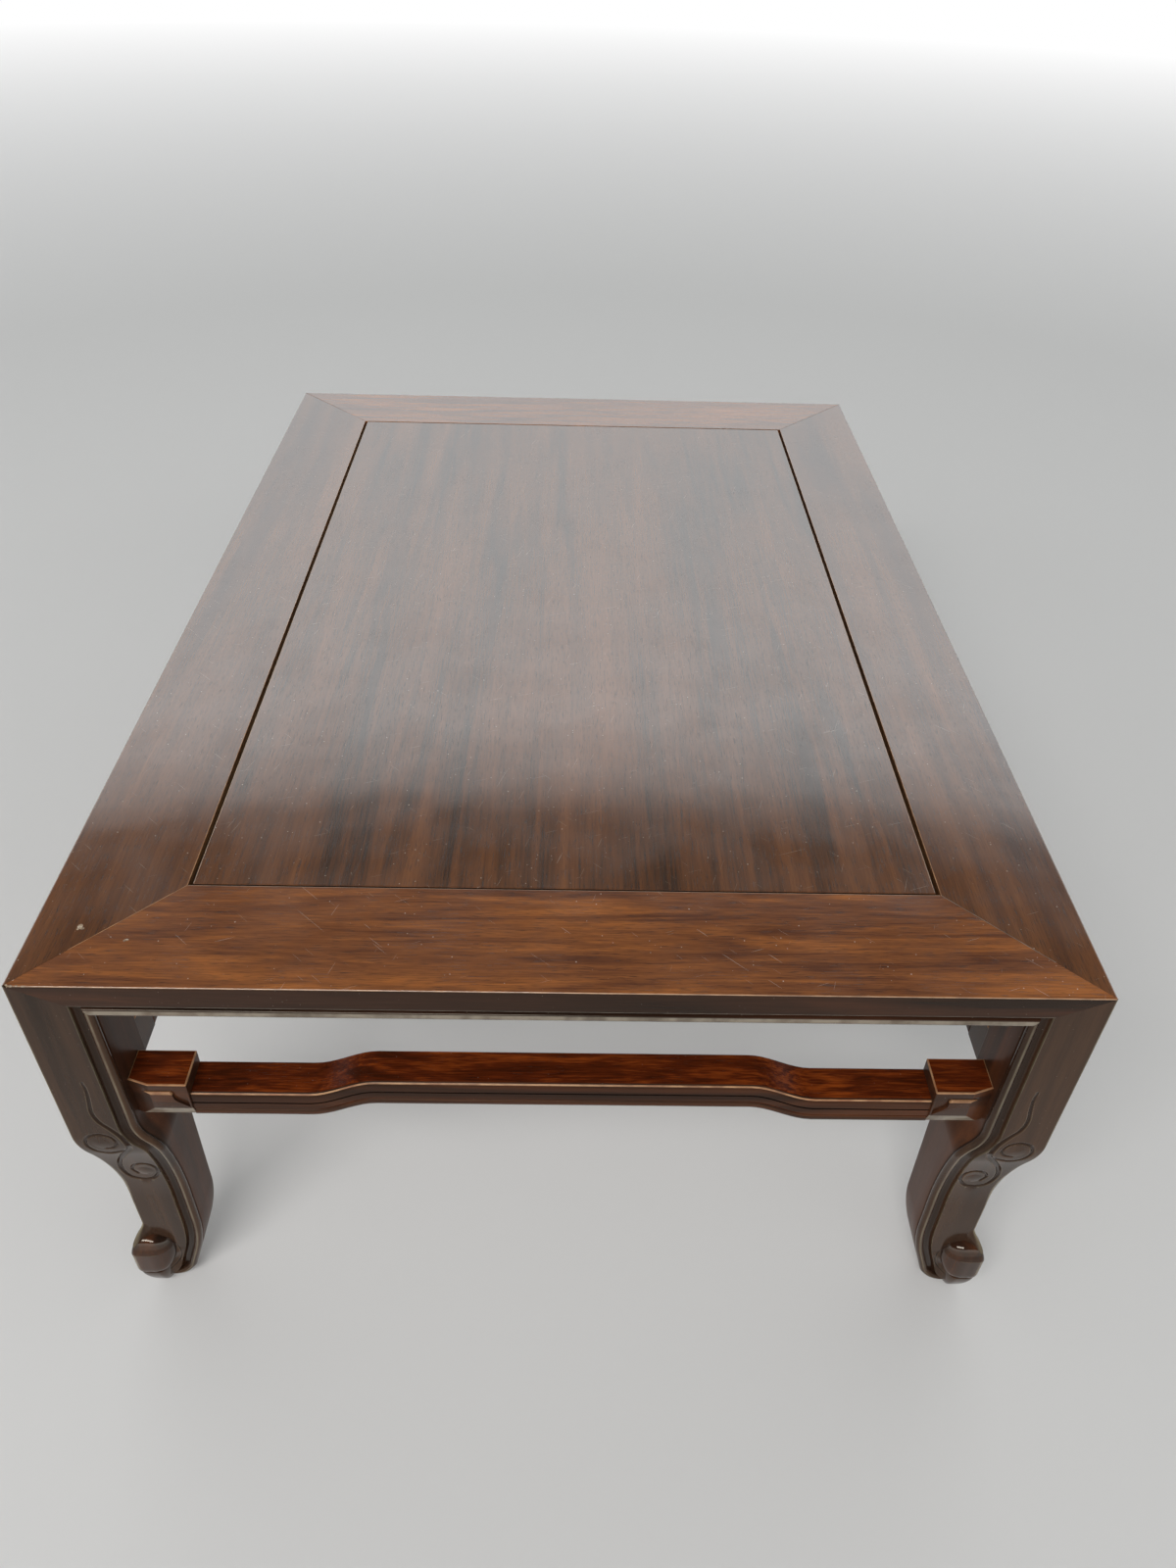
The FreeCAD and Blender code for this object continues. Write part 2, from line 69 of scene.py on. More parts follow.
def clearSelection():
    if bpy.context.mode != "OBJECT":
        bpy.ops.object.mode_set(mode="OBJECT")
    bpy.ops.object.select_all(action="DESELECT")


def makeActive(piece):
    clearSelection()
    piece.select_set(True)
    bpy.context.view_layer.objects.active = piece


def startEdit(piece):
    makeActive(piece)
    bpy.ops.object.mode_set(mode="EDIT")


def endEdit():
    bpy.ops.object.mode_set(mode="OBJECT")


def addBlock(name, low, high):
    clearSelection()
    middle = [(a + b) / 2 * mm for a, b in zip(low, high)]
    size = [(b - a) * mm for a, b in zip(low, high)]
    bpy.ops.mesh.primitive_cube_add(size=1, location=middle, scale=size)
    block = bpy.context.active_object
    block.name = name
    bpy.ops.object.transform_apply(location=True, rotation=True, scale=True)
    return block


def addPrism(name, outline, start, end):
    # an outline in x and z, pulled along y from start to end
    clearSelection()
    bpy.ops.mesh.primitive_circle_add(vertices=len(outline), fill_type="NGON")
    prism = bpy.context.active_object
    prism.name = name
    for corner, (x, z) in zip(prism.data.vertices, outline):
        corner.co = (x * mm, start * mm, z * mm)
    startEdit(prism)
    bpy.ops.mesh.select_all(action="SELECT")
    bpy.ops.mesh.extrude_region_move(TRANSFORM_OT_translate={"value": (0, (end - start) * mm, 0)})
    bpy.ops.mesh.select_all(action="SELECT")
    bpy.ops.mesh.normals_make_consistent(inside=False)
    endEdit()
    return prism


def addSkin(name, points):
    # a grid bent to rows and columns of points
    rows, columns = points.shape[:2]
    clearSelection()
    bpy.ops.mesh.primitive_grid_add(x_subdivisions=columns - 1, y_subdivisions=rows - 1, size=1)
    skin = bpy.context.active_object
    skin.name = name
    skin.data.vertices.foreach_set("co", (points * mm).astype(np.float32).ravel())
    skin.data.update()
    return skin


def pickFaces(piece, test):
    bpy.ops.mesh.select_mode(type="FACE")
    bpy.ops.mesh.select_all(action="DESELECT")
    form = bmesh.from_edit_mesh(piece.data)
    for face in form.faces:
        if test(face.calc_center_median() / mm, face.normal):
            face.select_set(True)
    bmesh.update_edit_mesh(piece.data)


def pickEdges(piece, test):
    bpy.ops.mesh.select_mode(type="EDGE")
    bpy.ops.mesh.select_all(action="DESELECT")
    form = bmesh.from_edit_mesh(piece.data)
    for edge in form.edges:
        if test(edge.verts[0].co / mm, edge.verts[1].co / mm):
            edge.select_set(True)
    bmesh.update_edit_mesh(piece.data)


def alongX(*lines):
    # a test for edges that run along x at one of these (y, z) places
    def test(a, b):
        if abs(a.y - b.y) > touch or abs(a.z - b.z) > touch or abs(a.x - b.x) < 0.5:
            return False
        return any(abs(a.y - y) < 2 * touch and abs(a.z - z) < 2 * touch for y, z in lines)
    return test


def slicePiece(place, normal, **keep):
    bpy.ops.mesh.select_mode(type="VERT")
    bpy.ops.mesh.select_all(action="SELECT")
    bpy.ops.mesh.bisect(plane_co=[p * mm for p in place], plane_no=Vector(normal).normalized(), **keep)


def extrudePicked(x, y, z):
    bpy.ops.mesh.extrude_region_move(TRANSFORM_OT_translate={"value": (x * mm, y * mm, z * mm)})


def bevelPicked(width, segments):
    bpy.ops.mesh.bevel(offset=width * mm, segments=segments, profile=0.5, affect="EDGES")


def paintPicked(piece, slotNumber):
    piece.active_material_index = slotNumber
    bpy.ops.object.material_slot_assign()


def cutWith(piece, cutter):
    makeActive(piece)
    cut = piece.modifiers.new("cut", "BOOLEAN")
    cut.operation = "DIFFERENCE"
    cut.solver = "EXACT"
    cut.object = cutter
    bpy.ops.object.modifier_apply(modifier="cut")
    bpy.data.objects.remove(cutter)


def copyPiece(piece, name):
    makeActive(piece)
    bpy.ops.object.duplicate()
    twin = bpy.context.active_object
    twin.name = name
    return twin


def placePiece(piece, turn, move):
    # turned about the upright axis and moved, with the place kept in the mesh
    makeActive(piece)
    piece.rotation_euler = (0, 0, math.radians(turn))
    piece.location = [m * mm for m in move]
    bpy.ops.object.transform_apply(location=True, rotation=True, scale=True)


def finishPiece(piece, node, angle=32):
    makeActive(piece)
    bpy.ops.object.shade_smooth_by_angle(angle=math.radians(angle))
    weigh = piece.modifiers.new("flatFaces", "WEIGHTED_NORMAL")  # big faces stay flat beside their bevels
    weigh.keep_sharp = True
    bpy.ops.object.modifier_apply(modifier="flatFaces")
    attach(piece, "root")
    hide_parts(node)


def smoothStep(value):
    value = np.clip(value, 0, 1)
    return value * value * (3 - 2 * value)


# finishes

def addNode(tree, kind, values=None, **settings):
    item = tree.nodes.new(kind)
    for key, value in settings.items():
        setattr(item, key, value)
    for key, value in (values or {}).items():
        item.inputs[key].default_value = value
    return item


def feed(tree, value, socket):
    # sockets are linked, plain values are set
    if hasattr(value, "is_output"):
        tree.links.new(value, socket)
    else:
        socket.default_value = value


def mixColour(tree, factor, first, second):
    item = addNode(tree, "ShaderNodeMix", data_type="RGBA", blend_type="MIX")
    for number, value in ((0, factor), (6, first), (7, second)):
        feed(tree, value, item.inputs[number])
    return item.outputs[2]


def mathNode(tree, operation, first, second=0.0, third=0.0):
    item = addNode(tree, "ShaderNodeMath", operation=operation)
    for number, value in enumerate((first, second, third)):
        feed(tree, value, item.inputs[number])
    return item.outputs[0]


def remap(tree, value, low, high, toLow=0.0, toHigh=1.0):
    item = addNode(tree, "ShaderNodeMapRange")
    tree.links.new(value, item.inputs[0])
    for number, bound in enumerate((low, high, toLow, toHigh)):
        item.inputs[number + 1].default_value = bound
    return item.outputs[0]


rosewood = {
    "dark": (0.066, 0.027, 0.014, 1),
    "middle": (0.114, 0.044, 0.017, 1),
    "light": (0.180, 0.068, 0.024, 1),
    "pore": (0.016, 0.008, 0.005, 1),
    "wornAndLit": (0.46, 0.25, 0.12, 1),  # pale, where the finish has gone, and as painted highlight on arrises, beads and rims
    "hollowDark": (0.016, 0.006, 0.003, 1),
    "speck": (0.62, 0.54, 0.44, 1),
    "stops": (0.36, 0.50, 0.68),  # where dark, middle and light stand in the figure
    "bandWidth": 13.0,  # millimetres across the grain
    "bandLength": 260.0,
    "twist": 0.9,
    "fibreWidth": 1.0,
    "fibreLength": 30.0,
    "fibreShare": 0.34,
    "poreWidth": 0.4,
    "poreLength": 7.0,
    "poreShare": 0.6,
    "gloss": 0.12,  # roughness where it is cleanest
    "smudge": 0.10,
    "smudgeSize": 38.0,
    "coat": 0.55,
    "coatGloss": 0.07,
    "coatIor": 1.6,
    "ior": 1.5,
    "tint": (1, 1, 1, 1),  # of the reflection
    "shift": 0.0,
    "specks": 0.7,
    "speckCells": 420.0,  # to the metre
    "crowdSize": 40.0,  # of the specks' clusters
    "scratches": 0.0,
    "scratchSize": (16, 0.30, 16),
    "scratchTurns": (0.35, 1.25, 2.4),
    "wearAndLight": 0.0,  # 0 on faces, 1 on pale arrises, worn and painted highlight
    "paleSize": 9.0,  # of its patches
    "meshTone": 0.0,  # how much of the pale and darkened marks kept on the mesh shows
    "meshToneSize": 14.0,
    "swellSize": 34.0,  # slow waves in the polish
}


def makeWood(name, axis, changes):
    look = dict(rosewood)
    look.update(changes)
    material = bpy.data.materials.new(name)
    material.use_nodes = True
    tree = material.node_tree
    tree.nodes.clear()
    links = tree.links
    output = addNode(tree, "ShaderNodeOutputMaterial")
    skin = addNode(tree, "ShaderNodeBsdfPrincipled")
    skin.inputs["IOR"].default_value = look["ior"]
    skin.inputs["Specular Tint"].default_value = look["tint"]
    skin.inputs["Coat Weight"].default_value = look["coat"]
    skin.inputs["Coat Roughness"].default_value = look["coatGloss"]
    skin.inputs["Coat IOR"].default_value = look["coatIor"]
    links.new(skin.outputs[0], output.inputs[0])
    place = addNode(tree, "ShaderNodeTexCoord").outputs["Object"]

    def noiseAt(size, detail, twist, offset, turn=0.0):
        # noise stretched to a size in millimetres along each axis
        mapping = addNode(tree, "ShaderNodeMapping", vector_type="TEXTURE")
        mapping.inputs["Location"].default_value = [-(look["shift"] + offset) * part * mm for part in size]
        mapping.inputs["Rotation"].default_value = (0, 0, turn)
        mapping.inputs["Scale"].default_value = [part * mm for part in size]
        links.new(place, mapping.inputs["Vector"])
        noise = addNode(tree, "ShaderNodeTexNoise", {"Scale": 1.0, "Detail": detail, "Distortion": twist})
        links.new(mapping.outputs[0], noise.inputs["Vector"])
        return noise.outputs[0]

    def grain(width, length, detail, twist, offset):
        size = [width, width, width]
        size["XYZ".index(axis)] = length
        return noiseAt(size, detail, twist, offset)

    def cloud(size, detail, offset):
        return noiseAt([size] * 3, detail, 0.0, offset)

    tone = grain(4 * look["bandWidth"], 1.2 * look["bandLength"], 2, 0.4, 3.1)
    band = grain(look["bandWidth"], look["bandLength"], 4, look["twist"], 7.3)
    fibre = grain(look["fibreWidth"], look["fibreLength"], 3, 0.3, 1.7)
    pore = grain(look["poreWidth"], look["poreLength"], 1, 0.0, 5.9)
    figure = mathNode(tree, "MULTIPLY_ADD", band, 0.62, mathNode(tree, "MULTIPLY", tone, 0.38))
    figure = mathNode(tree, "SUBTRACT", figure, look["fibreShare"] / 2)
    figure = mathNode(tree, "MULTIPLY_ADD", fibre, look["fibreShare"], figure)
    ramp = addNode(tree, "ShaderNodeValToRGB")
    low, middle, high = look["stops"]
    ramp.color_ramp.elements[0].position = low
    ramp.color_ramp.elements[0].color = look["dark"]
    ramp.color_ramp.elements[1].position = high
    ramp.color_ramp.elements[1].color = look["light"]
    ramp.color_ramp.elements.new(middle).color = look["middle"]
    links.new(figure, ramp.inputs[0])
    colour = ramp.outputs[0]
    poreMask = remap(tree, pore, 0.57, 0.70, 0.0, look["poreShare"])
    colour = mixColour(tree, poreMask, colour, look["pore"])
    if look["wearAndLight"] > 0:  # arrises go pale where the finish has gone, partly as a painted highlight
        arrisPaleMask = remap(tree, cloud(look["paleSize"], 3, 2.2), 0.36, 0.60, 0.4, look["wearAndLight"])
        colour = mixColour(tree, arrisPaleMask, colour, look["wornAndLit"])
    if look["meshTone"] > 0:  # pale rims, worn and painted highlight, and darkened hollows, kept on the mesh
        wearAndLight = addNode(tree, "ShaderNodeAttribute", attribute_name="wearAndLight").outputs["Fac"]
        uneven = remap(tree, cloud(look["meshToneSize"], 3, 2.2), 0.32, 0.60, 0.4, look["meshTone"])
        paleMask = mathNode(tree, "MULTIPLY", remap(tree, wearAndLight, 0.15, 0.95), uneven)
        colour = mixColour(tree, paleMask, colour, look["wornAndLit"])
        colour = mixColour(tree, remap(tree, wearAndLight, -0.1, -0.8, 0.0, 0.92), colour, look["hollowDark"])
    if look["scratches"] > 0:  # a few fine lines
        for turn in look["scratchTurns"]:
            streak = noiseAt(look["scratchSize"], 0, 0.0, 9 * turn, turn)
            lineMask = remap(tree, streak, 0.865, 0.885, 0.0, look["scratches"])
            colour = mixColour(tree, lineMask, colour, look["speck"])
    if look["specks"] > 0:  # dust and pinholes caught in the finish, in loose clusters
        dots = addNode(tree, "ShaderNodeTexVoronoi", {"Scale": look["speckCells"]})
        links.new(place, dots.inputs["Vector"])
        parts = addNode(tree, "ShaderNodeSeparateColor")
        links.new(dots.outputs["Color"], parts.inputs[0])
        size = remap(tree, parts.outputs[1], 0.0, 1.0, 0.45, 1.35)
        near = remap(tree, mathNode(tree, "DIVIDE", dots.outputs["Distance"], size), 0.07, 0.12, 1.0, 0.0)
        crowd = mathNode(tree, "MULTIPLY_ADD", cloud(look["crowdSize"], 2, 8.8), 0.9, parts.outputs[0])
        chosen = remap(tree, crowd, 1.24, 1.29, 0.0, look["specks"])
        colour = mixColour(tree, mathNode(tree, "MULTIPLY", near, chosen), colour, look["speck"])
    links.new(colour, skin.inputs["Base Color"])
    dullest = look["gloss"] + look["smudge"]
    gloss = remap(tree, cloud(look["smudgeSize"], 3, 4.4), 0.35, 0.68, look["gloss"], dullest)
    gloss = mathNode(tree, "MULTIPLY_ADD", poreMask, 0.15, gloss)
    links.new(gloss, skin.inputs["Roughness"])
    swell = addNode(tree, "ShaderNodeBump", {"Strength": 0.30, "Distance": 0.6 * mm})
    links.new(cloud(look["swellSize"], 1, 6.6), swell.inputs["Height"])
    depth = mathNode(tree, "MULTIPLY", poreMask, -0.6)
    depth = mathNode(tree, "MULTIPLY_ADD", fibre, 1.5 * look["fibreShare"], depth)
    furrow = addNode(tree, "ShaderNodeBump", {"Strength": 0.25, "Distance": 0.06 * mm})
    links.new(depth, furrow.inputs["Height"])
    links.new(swell.outputs[0], furrow.inputs["Normal"])
    links.new(furrow.outputs[0], skin.inputs["Normal"])
    return material


# how each wood differs from plain rosewood
flame = {
    "dark": (0.102, 0.034, 0.014, 1),
    "middle": (0.198, 0.067, 0.021, 1),
    "light": (0.352, 0.118, 0.028, 1),
    "bandWidth": 9.0,
    "bandLength": 110.0,
    "twist": 1.5,
    "fibreLength": 20.0,
    "scratches": 0.5,
}
darkFrame = {
    "dark": (0.016, 0.008, 0.005, 1),
    "middle": (0.034, 0.017, 0.010, 1),
    "light": (0.060, 0.028, 0.014, 1),
    "wornAndLit": (0.25, 0.21, 0.14, 1),
    "tint": (1.0, 0.90, 0.73, 1),
    "fibreShare": 0.14,
    "poreShare": 0.2,
    "specks": 0.15,
    "coat": 0.0,
    "ior": 1.34,
    "gloss": 0.10,
    "smudge": 0.06,
}
redFrame = {
    **darkFrame,
    "middle": (0.038, 0.015, 0.008, 1),
    "light": (0.090, 0.030, 0.012, 1),
    "ior": 1.30,
}
amber = {
    "dark": (0.048, 0.010, 0.003, 1),
    "middle": (0.100, 0.017, 0.004, 1),
    "light": (0.260, 0.052, 0.008, 1),
    "bandWidth": 7.0,
    "bandLength": 60.0,
    "twist": 1.8,
    "fibreWidth": 0.9,
    "fibreLength": 12.0,
    "fibreShare": 0.42,
    "specks": 0.1,
    "coat": 0.0,
    "ior": 1.35,
}
# its mesh marks are a painted highlight on the ball's corner facet and dome edge
polishedBall = {"specks": 0.0, "ior": 1.36, "gloss": 0.06, "smudge": 0.03, "coat": 0.15, "meshTone": 0.9}
# rubbed finish on arrises, partly a painted highlight where their rounding catches light
rubbedAndLit = {"wearAndLight": 0.85, "gloss": 0.26, "specks": 0.0}
# painted highlight: a pale colour put on bead crowns and bevels where they catch light
glint = {"wearAndLight": 0.8, "wornAndLit": (0.26, 0.22, 0.17, 1)}
shaded = {"ior": 1.22, "gloss": 0.3}
bare = {"gloss": 0.55, "smudge": 0.2, "coat": 0.0, "specks": 0.0}
# painted shade: near black, for the panel's gap walls and the bar's hollows
paintedShade = {
    **bare,
    "dark": (0.005, 0.003, 0.002, 1),
    "middle": (0.010, 0.005, 0.003, 1),
    "light": (0.022, 0.010, 0.005, 1),
    "ior": 1.2,
}
sawn = {
    **bare,
    "dark": (0.16, 0.075, 0.025, 1),
    "middle": (0.30, 0.15, 0.05, 1),
    "light": (0.46, 0.25, 0.09, 1),
}
chipped = {
    **bare,
    "dark": (0.07, 0.035, 0.02, 1),
    "middle": (0.30, 0.21, 0.13, 1),
    "light": (0.66, 0.56, 0.43, 1),
    "bandWidth": 1.3,
    "bandLength": 1.6,
}

endRailWood = makeWood("endRailWood", "X", {**flame, "shift": 1.3})
sideRailWood = makeWood("sideRailWood", "Y", {"shift": 5.2, "scratches": 0.4})
panelWood = makeWood("panelWood", "Y", {"shift": 9.7, "scratches": 0.4, "dark": (0.050, 0.025, 0.014, 1)})
legWood = makeWood("legWood", "Z", {**darkFrame, "meshTone": 0.9, "shift": 2.6})
shadedInnerLegWood = makeWood("shadedInnerLegWood", "Z", {**redFrame, **shaded, "meshTone": 0.9, "shift": 2.6})
ballWood = makeWood("ballWood", "Z", {**redFrame, **polishedBall, "shift": 4.1})
endStretcherWood = makeWood("endStretcherWood", "X", {**amber, "shift": 3.8})
sideStretcherWood = makeWood("sideStretcherWood", "Y", {**amber, "shift": 8.1})
battenWood = makeWood("battenWood", "X", {**darkFrame, "shift": 6.4, "gloss": 0.45})
# pale arris copies: rubbed finish and painted highlight
wornAndLitEndRail = makeWood("wornAndLitEndRail", "X", {**rubbedAndLit, "shift": 1.3})
wornAndLitSideRail = makeWood("wornAndLitSideRail", "Y", {**rubbedAndLit, "shift": 5.2})
wornAndLitEndStretcher = makeWood("wornAndLitEndStretcher", "X", {**amber, **rubbedAndLit, "shift": 3.8})
wornAndLitSideStretcher = makeWood("wornAndLitSideStretcher", "Y", {**amber, **rubbedAndLit, "shift": 8.1})
# darker frame wood for faces turned from the light: painted shade
shadedEdgeEndRail = makeWood("shadedEdgeEndRail", "X", {**redFrame, "shift": 1.3})
shadedEdgeSideRail = makeWood("shadedEdgeSideRail", "Y", {**redFrame, "shift": 5.2})
# pale copies that paint a highlight on beads and bevels
highlightEndRail = makeWood("highlightEndRail", "X", {**redFrame, **glint, "shift": 1.3})
highlightSideRail = makeWood("highlightSideRail", "Y", {**redFrame, **glint, "shift": 5.2})
shadeEndStretcher = makeWood("shadeEndStretcher", "X", {**redFrame, **shaded, "shift": 3.8})
shadeSideStretcher = makeWood("shadeSideStretcher", "Y", {**redFrame, **shaded, "shift": 8.1})
gapShadeWood = makeWood("gapShadeWood", "Y", paintedShade)
rawPanel = makeWood("rawPanel", "Y", {**sawn, "shift": 9.7})
chipWood = makeWood("chipWood", "X", chipped)
print("finishes made")


# frame rails, one end rail and one side rail modelled, the others copied

railShape = {
    "width": 62.5,
    "bead": 4.6,  # bead along the lower edge
    "beadRecess": 1.2,
    "groove": 3.7,
    "grooveDepth": 3.5,
    "slotDepth": 8.0,  # for the panel's tongue
    "tongue": 5.5,
    "arris": 1.0,
    "grooveArris": 0.5,
    "beadEdge": 0.9,  # the bead's crown, painted pale as a highlight, starts this far from its edges
    "lip": 0.45,
    "mitreBevel": 0.2,
    "mitreWear": 21.0,  # the front left mitre has opened from here inward
    "seam": 0.02,  # hairline at the leg's mitre
    "headReach": 33.0,  # leg head let into the rail's end
    "headDepth": 13.0,
    "spare": 40.0,  # length to cut the mitres from
    "overcut": 2.0,
}
wornAndLitSlot, shadedEdgeSlot, highlightSlot, chipSlot = 1, 2, 3, 4  # a piece's finishes, after its own wood at 0; the second is painted shade, the third a painted highlight


def giveWoods(piece, woods):
    for wood in woods:
        piece.data.materials.append(wood)


def makeRail(name, length, woods):
    s = railShape
    thick = topLevel - railLevel
    flat = s["bead"] + s["groove"]
    slotLow = panelLevel - railLevel
    rail = addBlock(name, (-length / 2 - s["spare"], 0, 0), (length / 2 + s["spare"], s["width"], thick))
    giveWoods(rail, woods)
    startEdit(rail)
    for level in (s["bead"], flat, slotLow, slotLow + s["tongue"]):
        slicePiece((0, 0, level), (0, 0, 1))
    pickFaces(rail, lambda c, n: n.y < -0.9 and s["bead"] < c.z < flat)
    extrudePicked(0, s["grooveDepth"], 0)
    pickFaces(rail, lambda c, n: n.y < -0.9 and c.z < s["bead"])
    bpy.ops.transform.translate(value=(0, s["beadRecess"] * mm, 0))
    pickFaces(rail, lambda c, n: n.y > 0.9 and slotLow < c.z < slotLow + s["tongue"])
    extrudePicked(0, -s["slotDepth"], 0)
    pickEdges(rail, alongX((s["beadRecess"], 0), (s["beadRecess"], s["bead"])))
    bevelPicked(s["bead"] / 2 - 0.1, 5)
    pickEdges(rail, alongX((0, flat)))
    bevelPicked(s["grooveArris"], 2)
    pickEdges(rail, alongX((0, thick)))
    bevelPicked(s["arris"], 3)
    pickEdges(rail, alongX((s["width"], thick)))
    bevelPicked(s["lip"], 2)

    def onArris(c, n):
        flattest = 0.89 if c.y < 2 else 0.99  # the outer arris is painted pale on its slope alone: rubbed finish and painted highlight
        return 0.5 < n.z < flattest and c.z > thick - s["arris"]

    def onMitre(spot):
        return spot.z > thick - touch and abs(length / 2 - abs(spot.x) - spot.y) < touch

    # pale arris: rubbed finish and painted highlight
    pickFaces(rail, onArris)
    paintPicked(rail, wornAndLitSlot)
    # painted shade: darker wood on the outer and under faces
    pickFaces(rail, lambda c, n: c.y < s["grooveDepth"] + 0.1 and (n.z < 0.4 or c.z < flat) or n.z < -0.5)
    paintPicked(rail, shadedEdgeSlot)
    # painted highlight on the bead's crown
    pickFaces(rail, lambda c, n: n.y < -0.8 and s["beadEdge"] < c.z < s["bead"] - s["beadEdge"])
    paintPicked(rail, highlightSlot)
    # painted highlight on the groove's lower arris
    pickFaces(rail, lambda c, n: n.y < -0.1 and n.z < -0.1 and flat < c.z < flat + s["grooveArris"])
    paintPicked(rail, highlightSlot)
    for side in (-1, 1):
        slicePiece((side * (length / 2 - s["mitreWear"]), 0, 0), (1, 0, 0))
        slicePiece((side * length / 2, 0, 0), (side, 1, 0), clear_outer=True, use_fill=True)
    pickEdges(rail, lambda a, b: onMitre(a) and onMitre(b) and abs(a.y - b.y) > 2)
    bevelPicked(s["mitreBevel"], 1)
    endEdit()

    # room for the leg's mitred head
    below, beyond = -s["overcut"], -2.5 * s["overcut"]
    slope = (thick - flat) / (s["headReach"] - flat)
    outline = (
        (s["headReach"] + s["seam"] + s["overcut"], below),
        (s["headReach"] + s["seam"] - flat, flat + s["seam"]),
        (beyond, thick - beyond * slope),
        (beyond, below),
    )
    for side in (-1, 1):
        placed = [(side * (length / 2 - x), z) for x, z in outline]
        cutWith(rail, addPrism("headCutter", placed, below, s["headDepth"]))
    return rail


def nickPiece(piece, place, size, slotNumber):
    # a small bruise, cut with a squashed ball
    clearSelection()
    middle = [p * mm for p in place]
    bpy.ops.mesh.primitive_ico_sphere_add(subdivisions=3, radius=mm, location=middle, scale=size)
    cutter = bpy.context.active_object
    bpy.ops.object.transform_apply(location=True, rotation=True, scale=True)
    giveWoods(cutter, piece.data.materials)
    for face in cutter.data.polygons:
        face.material_index = slotNumber
    cutWith(piece, cutter)


bruises = {  # place and size of the cutting ball, and the finish left behind
    "end_rail_front": (
        ((-238.6, -344.4, 266.3), (1.7, 1.8, 1.5), chipSlot),
        ((-236.2, -344.7, 266.5), (2.0, 1.7, 1.4), chipSlot),
        ((-233.7, -344.6, 266.7), (1.5, 1.8, 1.3), chipSlot),
        ((-230.8, -344.8, 266.5), (2.2, 1.6, 1.4), chipSlot),
        ((-227.4, -344.7, 266.8), (1.8, 1.7, 1.3), chipSlot),
        ((-224.1, -344.9, 266.6), (2.4, 1.6, 1.3), chipSlot),
        ((-218.6, -344.8, 266.8), (1.7, 1.5, 1.2), chipSlot),
        ((-203.0, -344.9, 266.6), (2.4, 1.5, 1.2), chipSlot),
        ((-195.2, -316.6, 267.6), (1.7, 1.1, 2.0), chipSlot),
        ((-196.0, -317.1, 267.7), (1.2, 1.2, 2.0), chipSlot),
        ((236.4, -344.8, 266.6), (3.4, 1.6, 1.3), wornAndLitSlot),
        ((230.6, -344.9, 266.6), (2.6, 1.5, 1.2), wornAndLitSlot),
    ),
    "side_rail_left": (
        ((-218.3, -308.9, 268.6), (2.4, 3.3, 3.0), chipSlot),
        ((-216.9, -310.0, 268.7), (2.3, 1.9, 3.0), chipSlot),
        ((-218.9, -310.6, 268.8), (1.7, 1.5, 3.0), chipSlot),
    ),
}

endWoods = (endRailWood, wornAndLitEndRail, shadedEdgeEndRail, highlightEndRail, chipWood)
sideWoods = (sideRailWood, wornAndLitSideRail, shadedEdgeSideRail, highlightSideRail, chipWood)
endRail = makeRail("endRailFront", 2 * halfWidth, endWoods)
sideRail = makeRail("sideRailRight", 2 * halfLength, sideWoods)
railPlaces = (
    (endRail, "end_rail_front", 0, (0, -halfLength, railLevel)),
    (copyPiece(endRail, "endRailBack"), "end_rail_back", 180, (0, halfLength, railLevel)),
    (sideRail, "side_rail_right", 90, (halfWidth, 0, railLevel)),
    (copyPiece(sideRail, "sideRailLeft"), "side_rail_left", 270, (-halfWidth, 0, railLevel)),
)


def openMitre(centre, normal):
    across, along = centre.x + halfWidth, centre.y + halfLength
    return abs(across - along) < 1 and across > railShape["mitreWear"] and 0.3 < normal.z < 0.95


for rail, node, turn, move in railPlaces:
    placePiece(rail, turn, move)
    startEdit(rail)
    pickFaces(rail, openMitre)
    paintPicked(rail, wornAndLitSlot)
    endEdit()
    for place, size, slotNumber in bruises.get(node, ()):
        nickPiece(rail, place, size, slotNumber)
    finishPiece(rail, node)
print("rails made")


# floating panel with its tongue

panelShape = {
    "sideGap": 2.0,
    "endGap": 1.0,
    "tongueReach": 7.0,
    "tongue": 5.4,
    "arris": 0.5,
}
rawSlot, gapShadeSlot = 2, 3


def makePanel():
    s = panelShape
    reachX = halfWidth - railShape["width"] - s["sideGap"]
    reachY = halfLength - railShape["width"] - s["endGap"]
    panel = addBlock("panelBoard", (-reachX, -reachY, panelLevel), (reachX, reachY, topLevel))
    giveWoods(panel, (panelWood, wornAndLitSideRail, rawPanel, gapShadeWood))
    startEdit(panel)
    tongueTop = panelLevel + s["tongue"]
    slicePiece((0, 0, tongueTop), (0, 0, 1))
    pickFaces(panel, lambda c, n: abs(n.z) < 0.1 and c.z < tongueTop)
    bpy.ops.mesh.extrude_region_shrink_fatten(
        TRANSFORM_OT_shrink_fatten={"value": s["tongueReach"] * mm, "use_even_offset": True})
    pickFaces(panel, lambda c, n: n.z > 0.9 and c.z < topLevel - 1)  # top of the tongue
    paintPicked(panel, rawSlot)
    pickEdges(panel, lambda a, b: min(a.z, b.z) > topLevel - touch)
    bevelPicked(s["arris"], 2)
    # pale arris: rubbed finish and painted highlight
    pickFaces(panel, lambda c, n: 0.1 < n.z < 0.99 and abs(n.x) > 0.1)  # arris of the long sides
    paintPicked(panel, wornAndLitSlot)
    # painted shade on the gap's walls
    pickFaces(panel, lambda c, n: abs(n.z) < 0.1 and c.z > tongueTop)
    paintPicked(panel, gapShadeSlot)
    endEdit()
    finishPiece(panel, "panel")


makePanel()
print("panel made")


# legs: half a leg as one bent skin, mirrored about its diagonal

